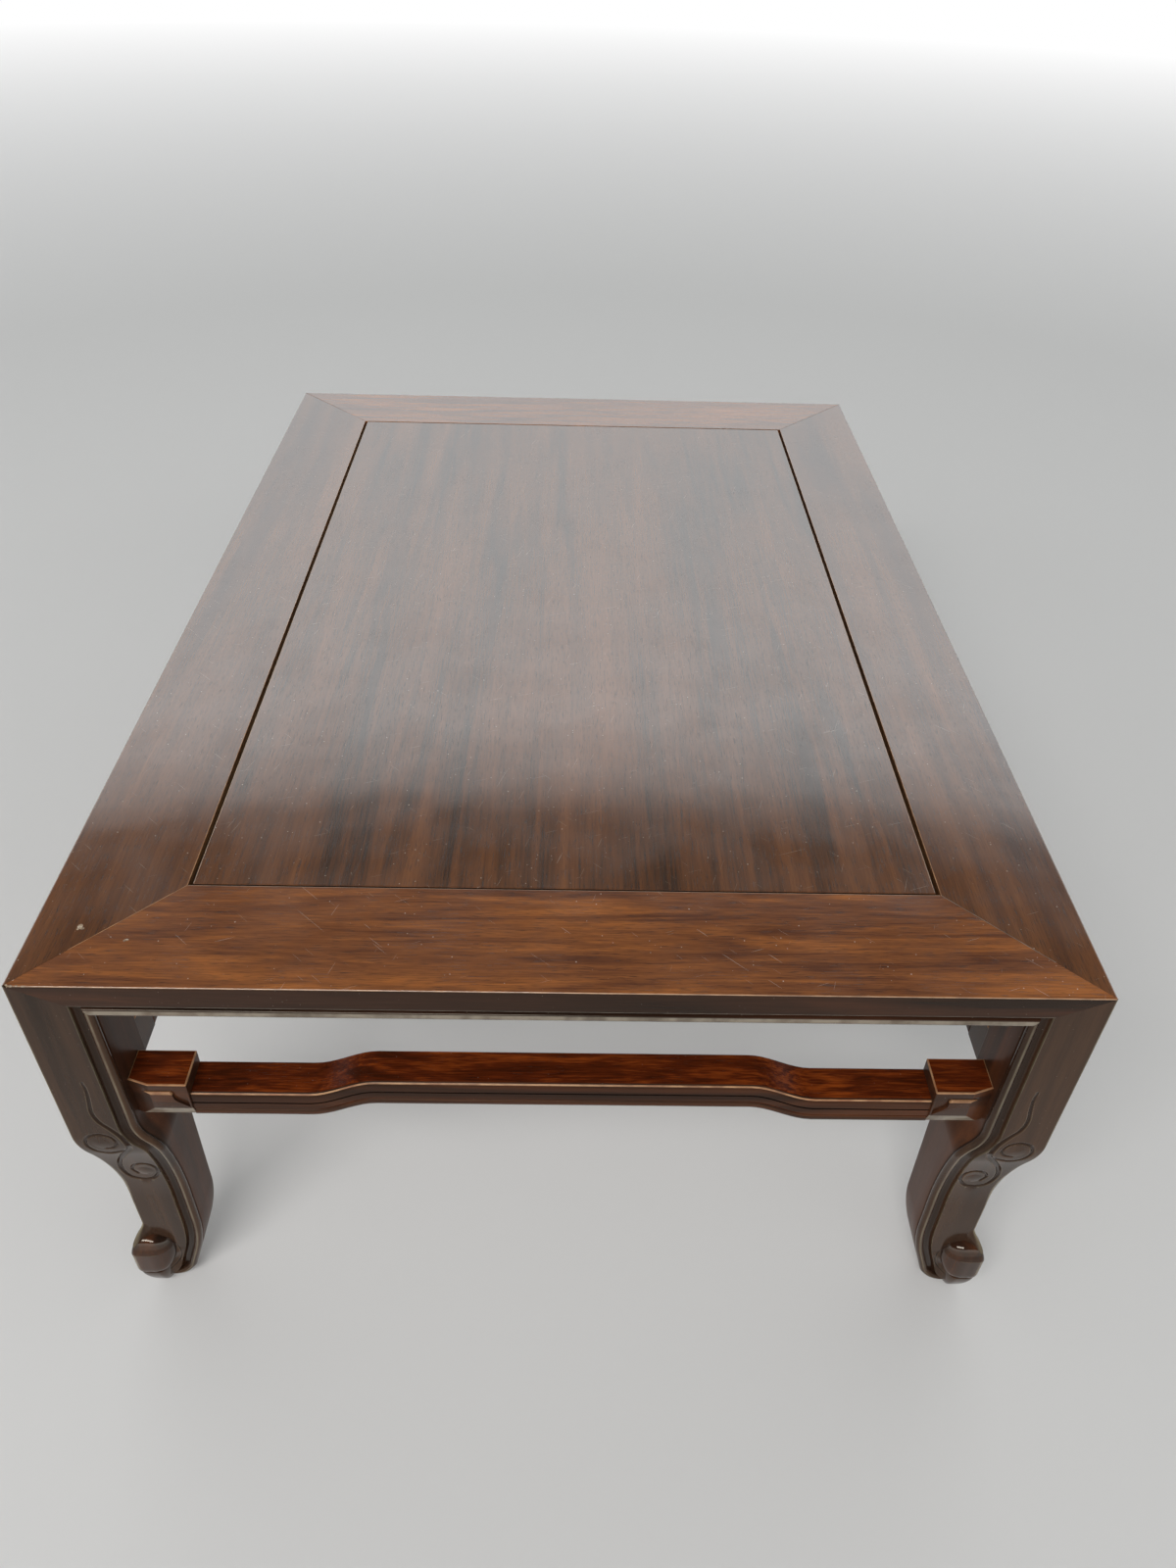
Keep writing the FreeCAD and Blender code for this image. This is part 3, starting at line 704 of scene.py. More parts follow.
legShape = {
    "width": 33.0,
    "kneeTop": 154.5,  # outer face starts to fall back here
    "kneeTurn": 136.5,
    "kneeLow": 82.5,
    "ankle": 9.7,  # how far back the outer face stands at the ankle
    "swellTop": 163.0,
    "swellLow": 137.0,
    "swell": 8.2,
    "heelTop": (40.3, 58.0),
    "heelLow": (36.2, 28.5),
    "toeStart": (29.9, 9.0),
    "toeRadius": 14.48,
    "padEnd": 16.5,
    "footLevel": 45.0,  # the outer faces open out to the foot below this
    "footFace": (7.0, 14.0),  # flat beside the arris, then falling back over
    "lipTop": (2.4, 21.0),  # the foot's lower lip on the arris, from here
    "lipEnd": (5.9, 8.0),  # down to here
    "lipPad": (4.0, 1.3),  # reach and power of its last turn to the floor
    "lipRise": 13.0,
    "curl": 28.6,  # height of the spiral's middle
    "curlTravel": (0.2, 0.37, 0.62, 0.83, 1.0),  # along the foot's edge
    "curlAngles": (97, 10, -45, -88, -137.9),
    "curlRadii": (8.5, 8.5, 8.5, 8.5, 11.33),
    "curlRise": 12.5,
    "ball": (10.8, 10.8, 37.5),  # where its dome starts
    "ballOuter": 9.65,  # from there to its flat outer faces
    "ballInner": 13.0,
    "ballTop": 9.0,
    "ballLow": 19.0,
    "ballBreak": 2.5,  # the larger, the sharper the dome's edge
    "toe": (13.0, 13.0, 18.5),  # rounded tip of the curl, under the ball
    "toeOuter": 11.2,
    "toeInner": 6.0,
    "toeTop": 1.0,
    "toeLow": 23.0,
    "toePower": 1.5,
    "tongueLevels": (41, 43, 46, 49.5, 53, 55.5, 57),  # the arris sweeps out to the ball
    "tongueReach": (6.0, 6.4, 5.9, 4.35, 2.1, 0.4, 0),
    "tongueWidth": 3.5,
    "arris": 1.0,
    "kneeArris": 2.8,
    "kneeBand": (152.0, 80.0, 26.0),  # between these levels, eased over so much
    "grooveOffsets": (8.25, 7.95, 7.6, 7.1, 6.4, 5.7, 5.1, 4.75),  # from the inner edge
    "grooveDepths": (0.5, 1.5, 2.2, 2.8, 3.2, 3.4, 3.5, 3.5),
    "grooveTones": (0.4, 0.0, -0.4, -0.8, -1, -1, -1, -0.9),  # pale above 0, a painted highlight on the rim; darkened below
    "rimHighlight": 0.65,
    "quirkSteps": ((0.5, 0), (0.9, 0.8), (1.6, 0.8), (2.0, 0)),  # way back and depth
    "cornerSteps": ((1.3, 0), (0.75, 0.12)),  # the back arris, eased
    "cornerDip": 0.35,
    "arrisColumns": (0, 0.010, 0.022, 0.036),  # how fine the skin is across the face
    "faceStart": 0.055,
    "faceColumns": 70,
    "headRow": 236.0,  # and down the leg
    "headRows": 7,
    "carvedLevels": (200.0, 103.0),
    "shinEnd": 60.0,
    "rowSteps": (3.0, 0.45, 2.6),  # above, over and below the carving
    "footRows": (44, 28, 34, 34),  # heel, sole, toe, under the ball
    "leanRows": 24,  # the ribs turn to the ball over so many
}
arrisShare = 0.293  # where a quarter round meets its diagonal

kneeCarving = {
    "tail": ((16.8, 198.5), (17.1, 192), (16.3, 184), (15.2, 175), (16.6, 167.5), (20.5, 161.3),
             (24.3, 154.8), (26.2, 147.5)),
    "lower": ((26.2, 147.5), (25.4, 143), (20.5, 135.5), (15.8, 126.5), (13.6, 117), (15.4, 107.8),
              (20.8, 104.2), (27, 105), (31, 111), (31.2, 118), (27.6, 122.3), (22.2, 121.5),
              (18.9, 116), (20.6, 110.9)),
    "upper": ((25.4, 143), (19.5, 139.8), (14, 137.9), (8.6, 140.6), (5.8, 147), (7.4, 153.6),
              (13.2, 156.4), (19, 154.5), (21.1, 149.4), (18.6, 144.9), (14.6, 143.7)),
    "ring": ((24.7, 34.8), (25.5, 31), (25.3, 26), (24, 21.4), (21.4, 17), (17.2, 13.8), (11.6, 11.4)),
    "tailHalf": (0.7, 1.5),  # half widths at the start and the end of each cut
    "lowerHalf": (1.5, 0.85),
    "upperHalf": (1.1, 0.8),
    "ringHalf": (0.5, 0.5),
    "depth": 0.78,  # cut depth for each millimetre of half width
    "rubbedAndLit": 0.55,  # how pale the cuts' rims are painted, as a highlight
    "eyes": ((25.0, 113.6, 4.4, 0.35), (13.6, 148.6, 4.6, 0.2)),  # place, radius and height
}


def curveThrough(points, steps=14):
    # a smooth line through given points
    p = np.array(points, float)
    p = np.vstack([2 * p[0] - p[1], p, 2 * p[-1] - p[-2]])
    t = np.linspace(0, 1, steps, endpoint=False)[:, None]
    line = []
    for a, b, c, d in zip(p[:-3], p[1:-2], p[2:-1], p[3:]):
        line.append(0.5 * (2 * b + (c - a) * t + (2 * a - 5 * b + 4 * c - d) * t ** 2
                           + (3 * b - a - 3 * c + d) * t ** 3))
    return np.vstack(line + [p[-2:-1]])


def carvedDepth(x, z):
    # how deep the carving goes, with a painted highlight on its rims and darkening inside the cuts
    depth = np.zeros_like(x)
    nearest = np.full_like(x, 9.0)
    for name in ("tail", "lower", "upper", "ring"):
        line = curveThrough(kneeCarving[name])
        first, last = kneeCarving[name + "Half"]
        half = np.linspace(first, last, len(line))
        gap = np.hypot(x[..., None] - line[:, 0], z[..., None] - line[:, 1]) / half
        depths = kneeCarving["depth"] * half * np.clip(np.linspace(0.2, 6, len(line)), 0, 1)
        cut = depths * np.clip(1 - (0.9 * gap) ** 2, 0, 1) ** 1.3
        depth = np.maximum(depth, cut.max(-1))
        nearest = np.minimum(nearest, gap.min(-1))
    for eyeX, eyeZ, radius, height in kneeCarving["eyes"]:
        away = np.hypot(x - eyeX, z - eyeZ) / radius
        depth -= height * np.clip(1 - away ** 2, 0, 1)
    # painted highlight on the rims, darker inside the cuts
    rim = kneeCarving["rubbedAndLit"] * np.exp(-((nearest - 1.2) / 0.2) ** 2)
    return depth, rim - smoothStep((1 - nearest) / 0.4)


def outerInset(z):
    s = legShape
    drop1, drop2 = s["kneeTop"] - s["kneeTurn"], s["kneeTurn"] - s["kneeLow"]
    slope = s["ankle"] / (drop1 + drop2)
    radius1 = drop1 * (1 + slope ** 2) / (2 * slope)
    radius2 = drop2 * (1 + slope ** 2) / (2 * slope)
    high = radius1 - np.sqrt(radius1 ** 2 - np.clip(s["kneeTop"] - z, 0, drop1) ** 2)
    low = s["ankle"] - radius2 + np.sqrt(radius2 ** 2 - np.clip(z - s["kneeLow"], 0, drop2) ** 2)
    return np.where(z > s["kneeTurn"], high, low)


def innerEdge(z):
    s = legShape
    half = (s["swellTop"] - s["swellLow"]) / 2
    radius = ((s["swell"] / 2) ** 2 + half ** 2) / s["swell"]
    full = s["width"] + s["swell"]
    upper = s["width"] + radius - np.sqrt(radius ** 2 - np.clip(s["swellTop"] - z, 0, half) ** 2)
    lower = full - radius + np.sqrt(radius ** 2 - np.clip(z - s["swellLow"], 0, half) ** 2)
    (heelX, heelZ), (lowX, lowZ) = s["heelTop"], s["heelLow"]
    shin = full + (heelX - full) * (s["swellLow"] - z) / (s["swellLow"] - heelZ)
    dx, dz = heelX - lowX, heelZ - lowZ
    heelRadius = (dx ** 2 + dz ** 2) / (2 * dx)
    heel = heelX - heelRadius + np.sqrt(heelRadius ** 2 - np.clip(heelZ - z, 0, dz) ** 2)
    edge = np.where(z > s["swellTop"] - half, upper, lower)
    edge = np.where(z < s["swellLow"], shin, edge)
    return np.where(z < heelZ, heel, edge)


def arrisInset(z):
    # the arris under the ball, as seen from the front
    s = legShape
    full, top = s["lipTop"]
    endX, endZ = s["lipEnd"]
    padReach, padPower = s["lipPad"]
    under = full + (endX - full) * (top - z) / (top - endZ)
    floor = endX + padReach * np.clip((endZ - z) / endZ, 0, 1) ** padPower
    above = full + (s["ankle"] - full) * smoothStep((z - top) / s["lipRise"])
    return np.where(z > top, above, np.where(z > endZ, under, floor))


def arrisRound(z):
    # the arris is rounded more where the knee falls back
    s = legShape
    high, low, ease = s["kneeBand"]
    extra = s["kneeArris"] - s["arris"]
    return s["arris"] + extra * smoothStep((high - z) / ease) * smoothStep((z - low) / ease)


def faceDepth(x, z):
    s = legShape
    inset = arrisInset(z)
    flat, fall = s["footFace"]
    foot = inset + (s["ankle"] - inset) * smoothStep((x - inset - flat) / fall)
    return np.where(z > s["footLevel"], outerInset(z), foot)


def legRows():
    # the inner edge followed down the leg, round the toe and under the ball
    s = legShape
    (high, low), (above, over, below) = s["carvedLevels"], s["rowSteps"]
    z = np.concatenate([np.arange(s["headRow"], high + 1, -above), np.arange(high, low, -over),
                        np.arange(low, s["shinEnd"], -below)])
    x = innerEdge(z)
    (lowX, lowZ), (toeX, toeZ), (endX, endZ) = s["heelLow"], s["toeStart"], s["lipEnd"]
    heelRows, soleRows, toeRows, underRows = s["footRows"]
    zHeel = np.linspace(s["heelTop"][1], lowZ, heelRows)
    share = np.linspace(0, 1, soleRows + 1)[1:]
    start = math.asin((toeZ - s["toeRadius"]) / s["toeRadius"])
    turn = np.linspace(start, -math.pi / 2, toeRows + 1)[1:]
    xUnder = np.linspace(s["padEnd"], endX, underRows + 1)[1:]
    rise = (s["padEnd"] - xUnder) / (s["padEnd"] - endX)
    footX = np.concatenate([innerEdge(zHeel), lowX + (toeX - lowX) * share,
                            s["padEnd"] + s["toeRadius"] * np.cos(turn), xUnder])
    footZ = np.concatenate([zHeel, lowZ + (toeZ - lowZ) * share,
                            s["toeRadius"] * (1 + np.sin(turn)), endZ * rise ** 2])
    line = np.stack([np.append(x, footX), np.append(z, footZ)], 1)
    way = np.gradient(line, axis=0)
    way /= np.linalg.norm(way, axis=1)[:, None]
    return line, np.stack([way[:, 1], -way[:, 0]], 1), len(z), len(xUnder)


def outerEnds(line, legCount):
    # where each rib starts: on the arris, and inside the ball lower down
    s = legShape
    level = line[:, 1]
    starts = np.stack([outerInset(level) + arrisShare * arrisRound(level), level], 1)
    foot = line[legCount:]
    travel = np.append(0, np.cumsum(np.linalg.norm(np.diff(foot, axis=0), axis=1)))
    travel /= travel[-1]
    angle = np.radians(np.interp(travel, s["curlTravel"], s["curlAngles"]))
    radius = np.interp(travel, s["curlTravel"], s["curlRadii"])
    curlX, curlZ = s["ball"][0], s["curl"]
    wrapped = np.stack([curlX + radius * np.cos(angle), curlZ + radius * np.sin(angle)], 1)
    leave = s["curlTravel"][0]
    down = np.interp(travel, (0, leave), (s["heelTop"][1], curlZ + s["curlRise"]))
    straight = np.stack([np.full(len(foot), s["ankle"] + arrisShare * s["arris"]), down], 1)
    starts[legCount:] = np.where((travel < leave)[:, None], straight, wrapped)
    onArris = np.ones(len(line))
    onArris[legCount:] = travel < leave
    return starts, onArris


def outerFace(starts, rim, onArris):
    # from the arris to the rim of the groove, with the carving
    s = legShape
    shares = np.concatenate([s["arrisColumns"], np.linspace(s["faceStart"], 1, s["faceColumns"])])
    face = starts[:, None] + (rim - starts)[:, None] * shares[:, None]
    x, z = face[..., 0], face[..., 1]
    rounding = arrisRound(z)
    edge = np.clip((x - outerInset(z)) / rounding, arrisShare, 1)
    y = faceDepth(x, z) + onArris[:, None] * rounding * (1 - np.sqrt(1 - (1 - edge) ** 2))
    carved, wearAndLight = carvedDepth(x, z)
    away = x - starts[:, :1]
    tongue = np.interp(z, s["tongueLevels"], s["tongueReach"]) * onArris[:, None]
    tongue *= np.clip(1 - away / s["tongueWidth"], 0, 1) ** 2
    wearAndLight += onArris[:, None] * np.clip(1.25 - away / (0.8 * rounding), 0, 1) * (1 - 0.08 * tongue)
    # painted highlight on the groove's rim
    wearAndLight[:, -1] = s["rimHighlight"]
    return np.stack([x - tongue, np.maximum(y + carved - tongue, 0), z], 2), wearAndLight


def mouldedEdge(line, rib, fade):
    # groove, then a half-round bead
    s = legShape
    turn = np.linspace(0, math.pi, 11)
    half = railShape["bead"] / 2
    offsets = np.append(s["grooveOffsets"], half + half * np.cos(turn))
    recess = np.append(s["grooveDepths"], railShape["beadRecess"] + half * (1 - np.sin(turn)))
    # bead crown pale, groove darkened, its rim a painted highlight
    tones = np.append(s["grooveTones"], 0.85 * np.sin(turn) ** 14 - 0.25)
    flow = line[:, None] + rib[:, None] * offsets[:, None]
    x, z = flow[..., 0], flow[..., 1]
    y = faceDepth(x, z) + recess * fade[:, None]
    return np.stack([x, y, z], 2), np.tile(tones, (len(line), 1))


def innerSide(line, rib, fade, under, startY):
    # back to the diagonal, with a quirk behind the bead
    s = legShape
    x, z = line[:, 0], line[:, 1]
    lipX, lipZ = s["lipEnd"]
    padReach, padPower = s["lipPad"]
    padX = np.interp(x, (lipX, lipX + padReach), (0, 1))
    endZ = np.where(under > 0, lipZ * (1 - padX ** (1 / padPower)), z)
    room = np.maximum(x - startY, touch)
    steps = [(np.minimum(back / room, 0.3), dip) for back, dip in s["quirkSteps"]]
    steps += [(share, 0) for share in (0.3, 0.55, 0.8)]
    steps += [(1 - np.minimum(back / room, 0.15), dip) for back, dip in s["cornerSteps"]]
    skin = []
    for share, dip in steps:
        sink = rib * (dip * fade)[:, None]
        y = startY + (x - startY) * share
        skin.append(np.stack([x + sink[:, 0], y, z + (endZ - z) * share + sink[:, 1]], 1))
    corner = line + rib * (s["cornerDip"] * fade)[:, None]
    skin.append(np.stack([corner[:, 0], corner[:, 0], np.where(under > 0, endZ, corner[:, 1])], 1))
    wearAndLight = np.zeros((len(line), len(skin)))
    wearAndLight[:, 1:3] = -1  # darkened in the quirk
    return np.stack(skin, 1), wearAndLight


def legHead(top):
    # cut to the mitre that it shares with the rails
    s = legShape
    mould = railShape["bead"] + railShape["groove"]
    flat = s["width"] - mould
    x = np.minimum(top[:, 0], s["width"])
    slant = topLevel - x * (topLevel - railLevel - mould) / flat
    mitre = np.where(x < flat, slant, railLevel + s["width"] - x)
    head = []
    for share in np.linspace(0, 1, s["headRows"] + 1)[:-1]:
        row = top.copy()
        row[:, 2] = mitre + (s["headRow"] - mitre) * share
        head.append(row)
    return np.array(head)


def halfLeg():
    line, inward, legCount, underCount = legRows()
    starts, onArris = outerEnds(line, legCount)
    rows = len(line)
    under = np.zeros(rows)  # 0 on the leg, rising to 1 under the ball
    under[-underCount:] = np.linspace(0, 1, underCount + 1)[1:]
    fade = 1 - smoothStep(under * 2)  # the moulding dies away there
    aim = starts - line
    aim /= np.linalg.norm(aim, axis=1)[:, None]
    leanRows = legShape["leanRows"]
    lean = smoothStep((np.arange(rows) - (rows - underCount - leanRows)) / leanRows)[:, None]
    rib = inward * (1 - lean) + aim * lean
    rib /= np.linalg.norm(rib, axis=1)[:, None]
    rim = line + rib * (railShape["bead"] + railShape["groove"])
    face, faceTones = outerFace(starts, rim, onArris)
    edge, edgeTones = mouldedEdge(line, rib, fade)
    side, sideTones = innerSide(line, rib, fade, under, edge[:, -1, 1])
    skin = np.concatenate([face, edge, side], 1)
    wearAndLight = np.concatenate([faceTones, edgeTones, sideTones], 1)
    skin[-1, :, :2] = skin[-1, :, :2].mean(-1, keepdims=True)  # the last rib is the arris itself
    head = legHead(skin[0])
    return np.concatenate([head, skin]), np.concatenate([np.repeat(wearAndLight[:1], len(head), 0), wearAndLight])


def addBall(segments, rings, wood):
    clearSelection()
    bpy.ops.mesh.primitive_uv_sphere_add(segments=segments, ring_count=rings, radius=1)
    ball = bpy.context.active_object
    ball.data.materials.append(wood)
    return ball


def cornerPlan(x, y, outer, inner):
    # square on the two outer sides, round on the inner ones
    square = (max(-x, 0) ** 6 + max(-y, 0) ** 6) ** (1 / 3) / outer ** 2
    return square, square + (max(x, 0) ** 2 + max(y, 0) ** 2) / inner ** 2


def makeBall():
    # round on the inner side, flat and square cornered where it meets the leg's outer faces
    s = legShape
    ball = addBall(128, 72, ballWood)
    sink = s["ballBreak"]
    room = s["ballTop"] * (s["ballTop"] + 2 * sink)
    tones = []
    for corner in ball.data.vertices:
        x, y, z = corner.co
        square, plan = cornerPlan(x, y, s["ballOuter"], s["ballInner"])
        if z > 0:  # a low dome that breaks from the upright faces
            spread = room * plan + z * z
            reach = (math.sqrt((sink * z) ** 2 + spread * room) - sink * z) / spread
        else:
            power = 3 + 9 * (square / max(plan, 1e-9)) ** 2  # square below the corner, round inside
            reach = (plan ** (power / 2) + (-z / s["ballLow"]) ** power) ** (-1 / power)
        corner.co *= reach * mm
        # painted highlight: the lower corner facet and the dome's edge go pale
        facet = math.exp(-((x - y) * reach / 2.6) ** 2) if max(x, y) * reach < -3 and z < 0.02 else 0
        ridge = 0.4 * math.exp(-(z * reach / 0.4) ** 2) if min(x, y) * reach < -9 else 0
        tones.append(max(facet, ridge))
    ball.data.attributes.new("wearAndLight", "FLOAT", "POINT").data.foreach_set("value", tones)
    placePiece(ball, 0, s["ball"])
    return ball


def makeToe():
    s = legShape
    power = s["toePower"]
    toe = addBall(96, 48, legWood)
    for corner in toe.data.vertices:
        x, y, z = corner.co
        plan = cornerPlan(x, y, s["toeOuter"], s["toeInner"])[1]
        tall = s["toeTop"] if z > 0 else s["toeLow"]
        corner.co *= (plan ** (power / 2) + (abs(z) / tall) ** power) ** (-1 / power) * mm
    placePiece(toe, 0, s["toe"])
    for corner in toe.data.vertices:  # it stands on the floor
        corner.co.z = max(corner.co.z, 0)
    return toe


def makeLeg(name):
    points, wearAndLight = halfLeg()
    turned = np.stack([points[..., 0] + points[..., 1], points[..., 1] - points[..., 0]], 2) / math.sqrt(2)
    leg = addSkin(name, np.concatenate([turned, points[..., 2:]], 2))
    kept = leg.data.attributes.new("wearAndLight", "FLOAT", "POINT")
    kept.data.foreach_set("value", wearAndLight.astype(np.float32).ravel())
    leg.data.materials.append(legWood)
    leg.data.materials.append(shadedInnerLegWood)
    finish = np.zeros((wearAndLight.shape[0] - 1, wearAndLight.shape[1] - 1), np.int32)
    finish[:, -9:] = 1  # the inner side, behind the bead, in the shaded copy of the leg's wood: painted shade
    leg.data.polygons.foreach_set("material_index", finish.ravel())
    makeActive(leg)
    mirror = leg.modifiers.new("twin", "MIRROR")
    mirror.use_axis = (False, True, False)
    mirror.use_mirror_merge = True
    mirror.merge_threshold = 0.02 * mm
    bpy.ops.object.modifier_apply(modifier="twin")
    startEdit(leg)
    bpy.ops.mesh.select_all(action="SELECT")
    bpy.ops.mesh.remove_doubles(threshold=0.01 * mm)
    bpy.ops.mesh.dissolve_degenerate(threshold=0.005 * mm)
    bpy.ops.mesh.select_all(action="SELECT")
    bpy.ops.mesh.fill_holes(sides=0)
    bpy.ops.mesh.select_all(action="SELECT")
    bpy.ops.mesh.normals_make_consistent(inside=False)
    endEdit()
    for part in (makeBall(), makeToe()):
        placePiece(part, -45, (0, 0, 0))
        makeActive(leg)
        part.select_set(True)
        bpy.ops.object.join()
    return leg


leg = makeLeg("legFrontLeft")
legPlaces = (
    (leg, "leg_front_left", 45, (-halfWidth, -halfLength, 0)),
    (copyPiece(leg, "legFrontRight"), "leg_front_right", 135, (halfWidth, -halfLength, 0)),
    (copyPiece(leg, "legBackRight"), "leg_back_right", 225, (halfWidth, halfLength, 0)),
    (copyPiece(leg, "legBackLeft"), "leg_back_left", 315, (-halfWidth, halfLength, 0)),
)
for leg, node, turn, move in legPlaces:
    placePiece(leg, turn, move)
    finishPiece(leg, node, 66)
print("legs made:", len(leg.data.polygons), "faces each")


# humped stretchers with a carved block at each end

stretcherShape = {
    "setback": 5.2,
    "step": 1.2,  # the bar's face stands this far behind its blocks
    "depth": 20.5,
    "height": 16.5,
    "level": 165.0,
    "rise": 9.8,
    "run": 32.0,
    "endRunStart": 85.0,
    "sideRunStart": 131.0,
    "bead": 3.9,
    "quirk": 1.2,
    "quirkDepth": 1.4,
    "lineLevel": 9.2,
    "lineWidth": 1.0,
    "lineDepth": 0.7,
    "shoulder": 2.6,  # rounding of the upper band
    "arris": 0.7,
    "blockLength": 28.6,
    "blockHeight": 25.0,
    "legBevel": (10.2, 3.4),
    "lowBevel": (6.8, 2.2),
    "fret": ((-1, 20.8), (27.2, 20.8), (27.5, 13.0), (27.7, 7.6), (22.4, 11.6), (20.9, 13.6), (20.5, 16.8),
             (19.4, 18.4), (-1, 18.4)),
    "fretDepth": 1.3,
    "padRound": 1.1,
    "beadRound": 1.35,
    "beadEdge": 1.0,  # the bead's crown is pale between its edges
    "paleDrop": 1.4,  # the shoulder is painted pale down to here: rubbed finish and painted highlight
    "facet": 1.4,  # length of the hump's steps
}
shadeSlot, shadedHollowSlot = 4, 5


def makeBar(name, span, runStart, woods):
    s = stretcherShape
    reach = span / 2 - s["blockLength"]
    bar = addBlock(name, (-reach, s["step"], 0), (reach, s["depth"], s["height"]))
    giveWoods(bar, woods)
    startEdit(bar)
    quirkTop = s["bead"] + s["quirk"]
    lineTop = s["lineLevel"] + s["lineWidth"]
    for level in (s["bead"], quirkTop, s["lineLevel"], lineTop):
        slicePiece((0, 0, level), (0, 0, 1))
    pickFaces(bar, lambda c, n: n.y < -0.9 and s["bead"] < c.z < quirkTop)
    extrudePicked(0, s["quirkDepth"], 0)
    pickFaces(bar, lambda c, n: n.y < -0.9 and s["lineLevel"] < c.z < lineTop)
    extrudePicked(0, s["lineDepth"], 0)
    pickEdges(bar, alongX((s["step"], 0), (s["step"], s["bead"])))
    bevelPicked(s["beadRound"], 4)
    pickEdges(bar, alongX((s["step"], s["height"])))
    bevelPicked(s["shoulder"], 5)
    pickEdges(bar, alongX((s["depth"], s["height"]), (s["depth"], 0)))
    bevelPicked(s["arris"], 2)
    pickEdges(bar, lambda a, b: abs(a.x - b.x) > 1)
    bpy.ops.mesh.subdivide(number_cuts=int(reach / s["facet"]), smoothness=0)
    pickFaces(bar, lambda c, n: n.y < -0.3 or n.y > 0.5 or n.z < -0.3)
    paintPicked(bar, shadeSlot)
    # painted shade, a little lighter, on the bead's crown
    pickFaces(bar, lambda c, n: n.y < -0.8 and s["beadEdge"] < c.z < s["bead"] - s["beadEdge"])
    paintPicked(bar, shadedEdgeSlot)

    def inHollow(c, n):
        inQuirk = s["bead"] - touch < c.z < quirkTop + touch
        inLine = s["lineLevel"] - touch < c.z < lineTop + touch
        return 0.2 < c.y - s["step"] < s["quirkDepth"] + 0.1 and (inQuirk or inLine)

    # painted shade in the hollows
    pickFaces(bar, inHollow)
    paintPicked(bar, shadedHollowSlot)
    # pale shoulder: rubbed finish and painted highlight
    pickFaces(bar, lambda c, n: n.y < -0.55 and n.z > 0.55 and c.z > s["height"] - s["paleDrop"])
    paintPicked(bar, wornAndLitSlot)
    endEdit()
    for corner in bar.data.vertices:  # the hump, as two easy curves
        inward = (span / 2 - abs(corner.co.x) / mm - runStart) / s["run"]
        corner.co.z += s["rise"] * mm * float(smoothStep(inward))
    return bar


def makeBlock(name, woods):
    # outer end at x 0, face at y 0, standing on z 0
    s = stretcherShape
    length, height = s["blockLength"], s["blockHeight"]
    block = addBlock(name, (0, 0, 0), (length, s["depth"], height))
    giveWoods(block, woods)
    startEdit(block)
    (legWide, legDeep), (lowWide, lowDeep) = s["legBevel"], s["lowBevel"]
    slicePiece((0, legDeep, 0), (-legDeep, -legWide, 0), clear_outer=True, use_fill=True)
    slicePiece((0, lowDeep, 0), (0, -lowWide, -lowDeep), clear_outer=True, use_fill=True)
    pickEdges(block, lambda a, b: min(a.z, b.z) > height - touch)
    bevelPicked(s["arris"], 2)
    pickEdges(block, lambda a, b: min(a.x, b.x) > length - touch and abs(a.z - b.z) > 2)
    bevelPicked(s["arris"], 2)
    endEdit()
    cutWith(block, addPrism("fretCutter", s["fret"], -1, s["fretDepth"]))
    startEdit(block)
    padTop = s["fret"][-1][1]

    def onPadTop(a, b):
        return max(a.y, b.y) < touch and max(abs(a.z - padTop), abs(b.z - padTop)) < touch

    def inShade(c, n):
        inFret = n.y > -0.5 and c.y < s["fretDepth"] and c.z < height - 2
        return n.x > 0.9 or n.x < -0.1 and n.y < -0.1 or inFret

    pickEdges(block, onPadTop)
    bevelPicked(s["padRound"], 3)
    # painted shade: darker wood on the front and back faces
    pickFaces(block, lambda c, n: n.y < -0.1 or n.y > 0.5)
    paintPicked(block, shadedEdgeSlot)
    # painted highlight on the lower bevel
    pickFaces(block, lambda c, n: n.y < -0.1 and n.z < -0.1)
    paintPicked(block, highlightSlot)
    pickFaces(block, inShade)
    paintPicked(block, shadeSlot)
    # pale top arris and pad edge: rubbed finish and painted highlight
    pickFaces(block, lambda c, n: 0.1 < n.z < 0.99 and (c.z > height - 1 or padTop - 1.2 < c.z < padTop))
    paintPicked(block, wornAndLitSlot)
    endEdit()
    return block


def makeStretcher(name, span, runStart, woods):
    bar = makeBar(name, span, runStart, woods)
    block = makeBlock(name + "Block", woods)
    twin = copyPiece(block, name + "BlockTwin")
    twin.scale.x = -1
    bpy.ops.object.transform_apply(scale=True)
    startEdit(twin)
    bpy.ops.mesh.select_all(action="SELECT")
    bpy.ops.mesh.normals_make_consistent(inside=False)
    endEdit()
    placePiece(block, 0, (-span / 2, 0, 0))
    placePiece(twin, 0, (span / 2, 0, 0))
    makeActive(bar)
    block.select_set(True)
    twin.select_set(True)
    bpy.ops.object.join()
    return bar


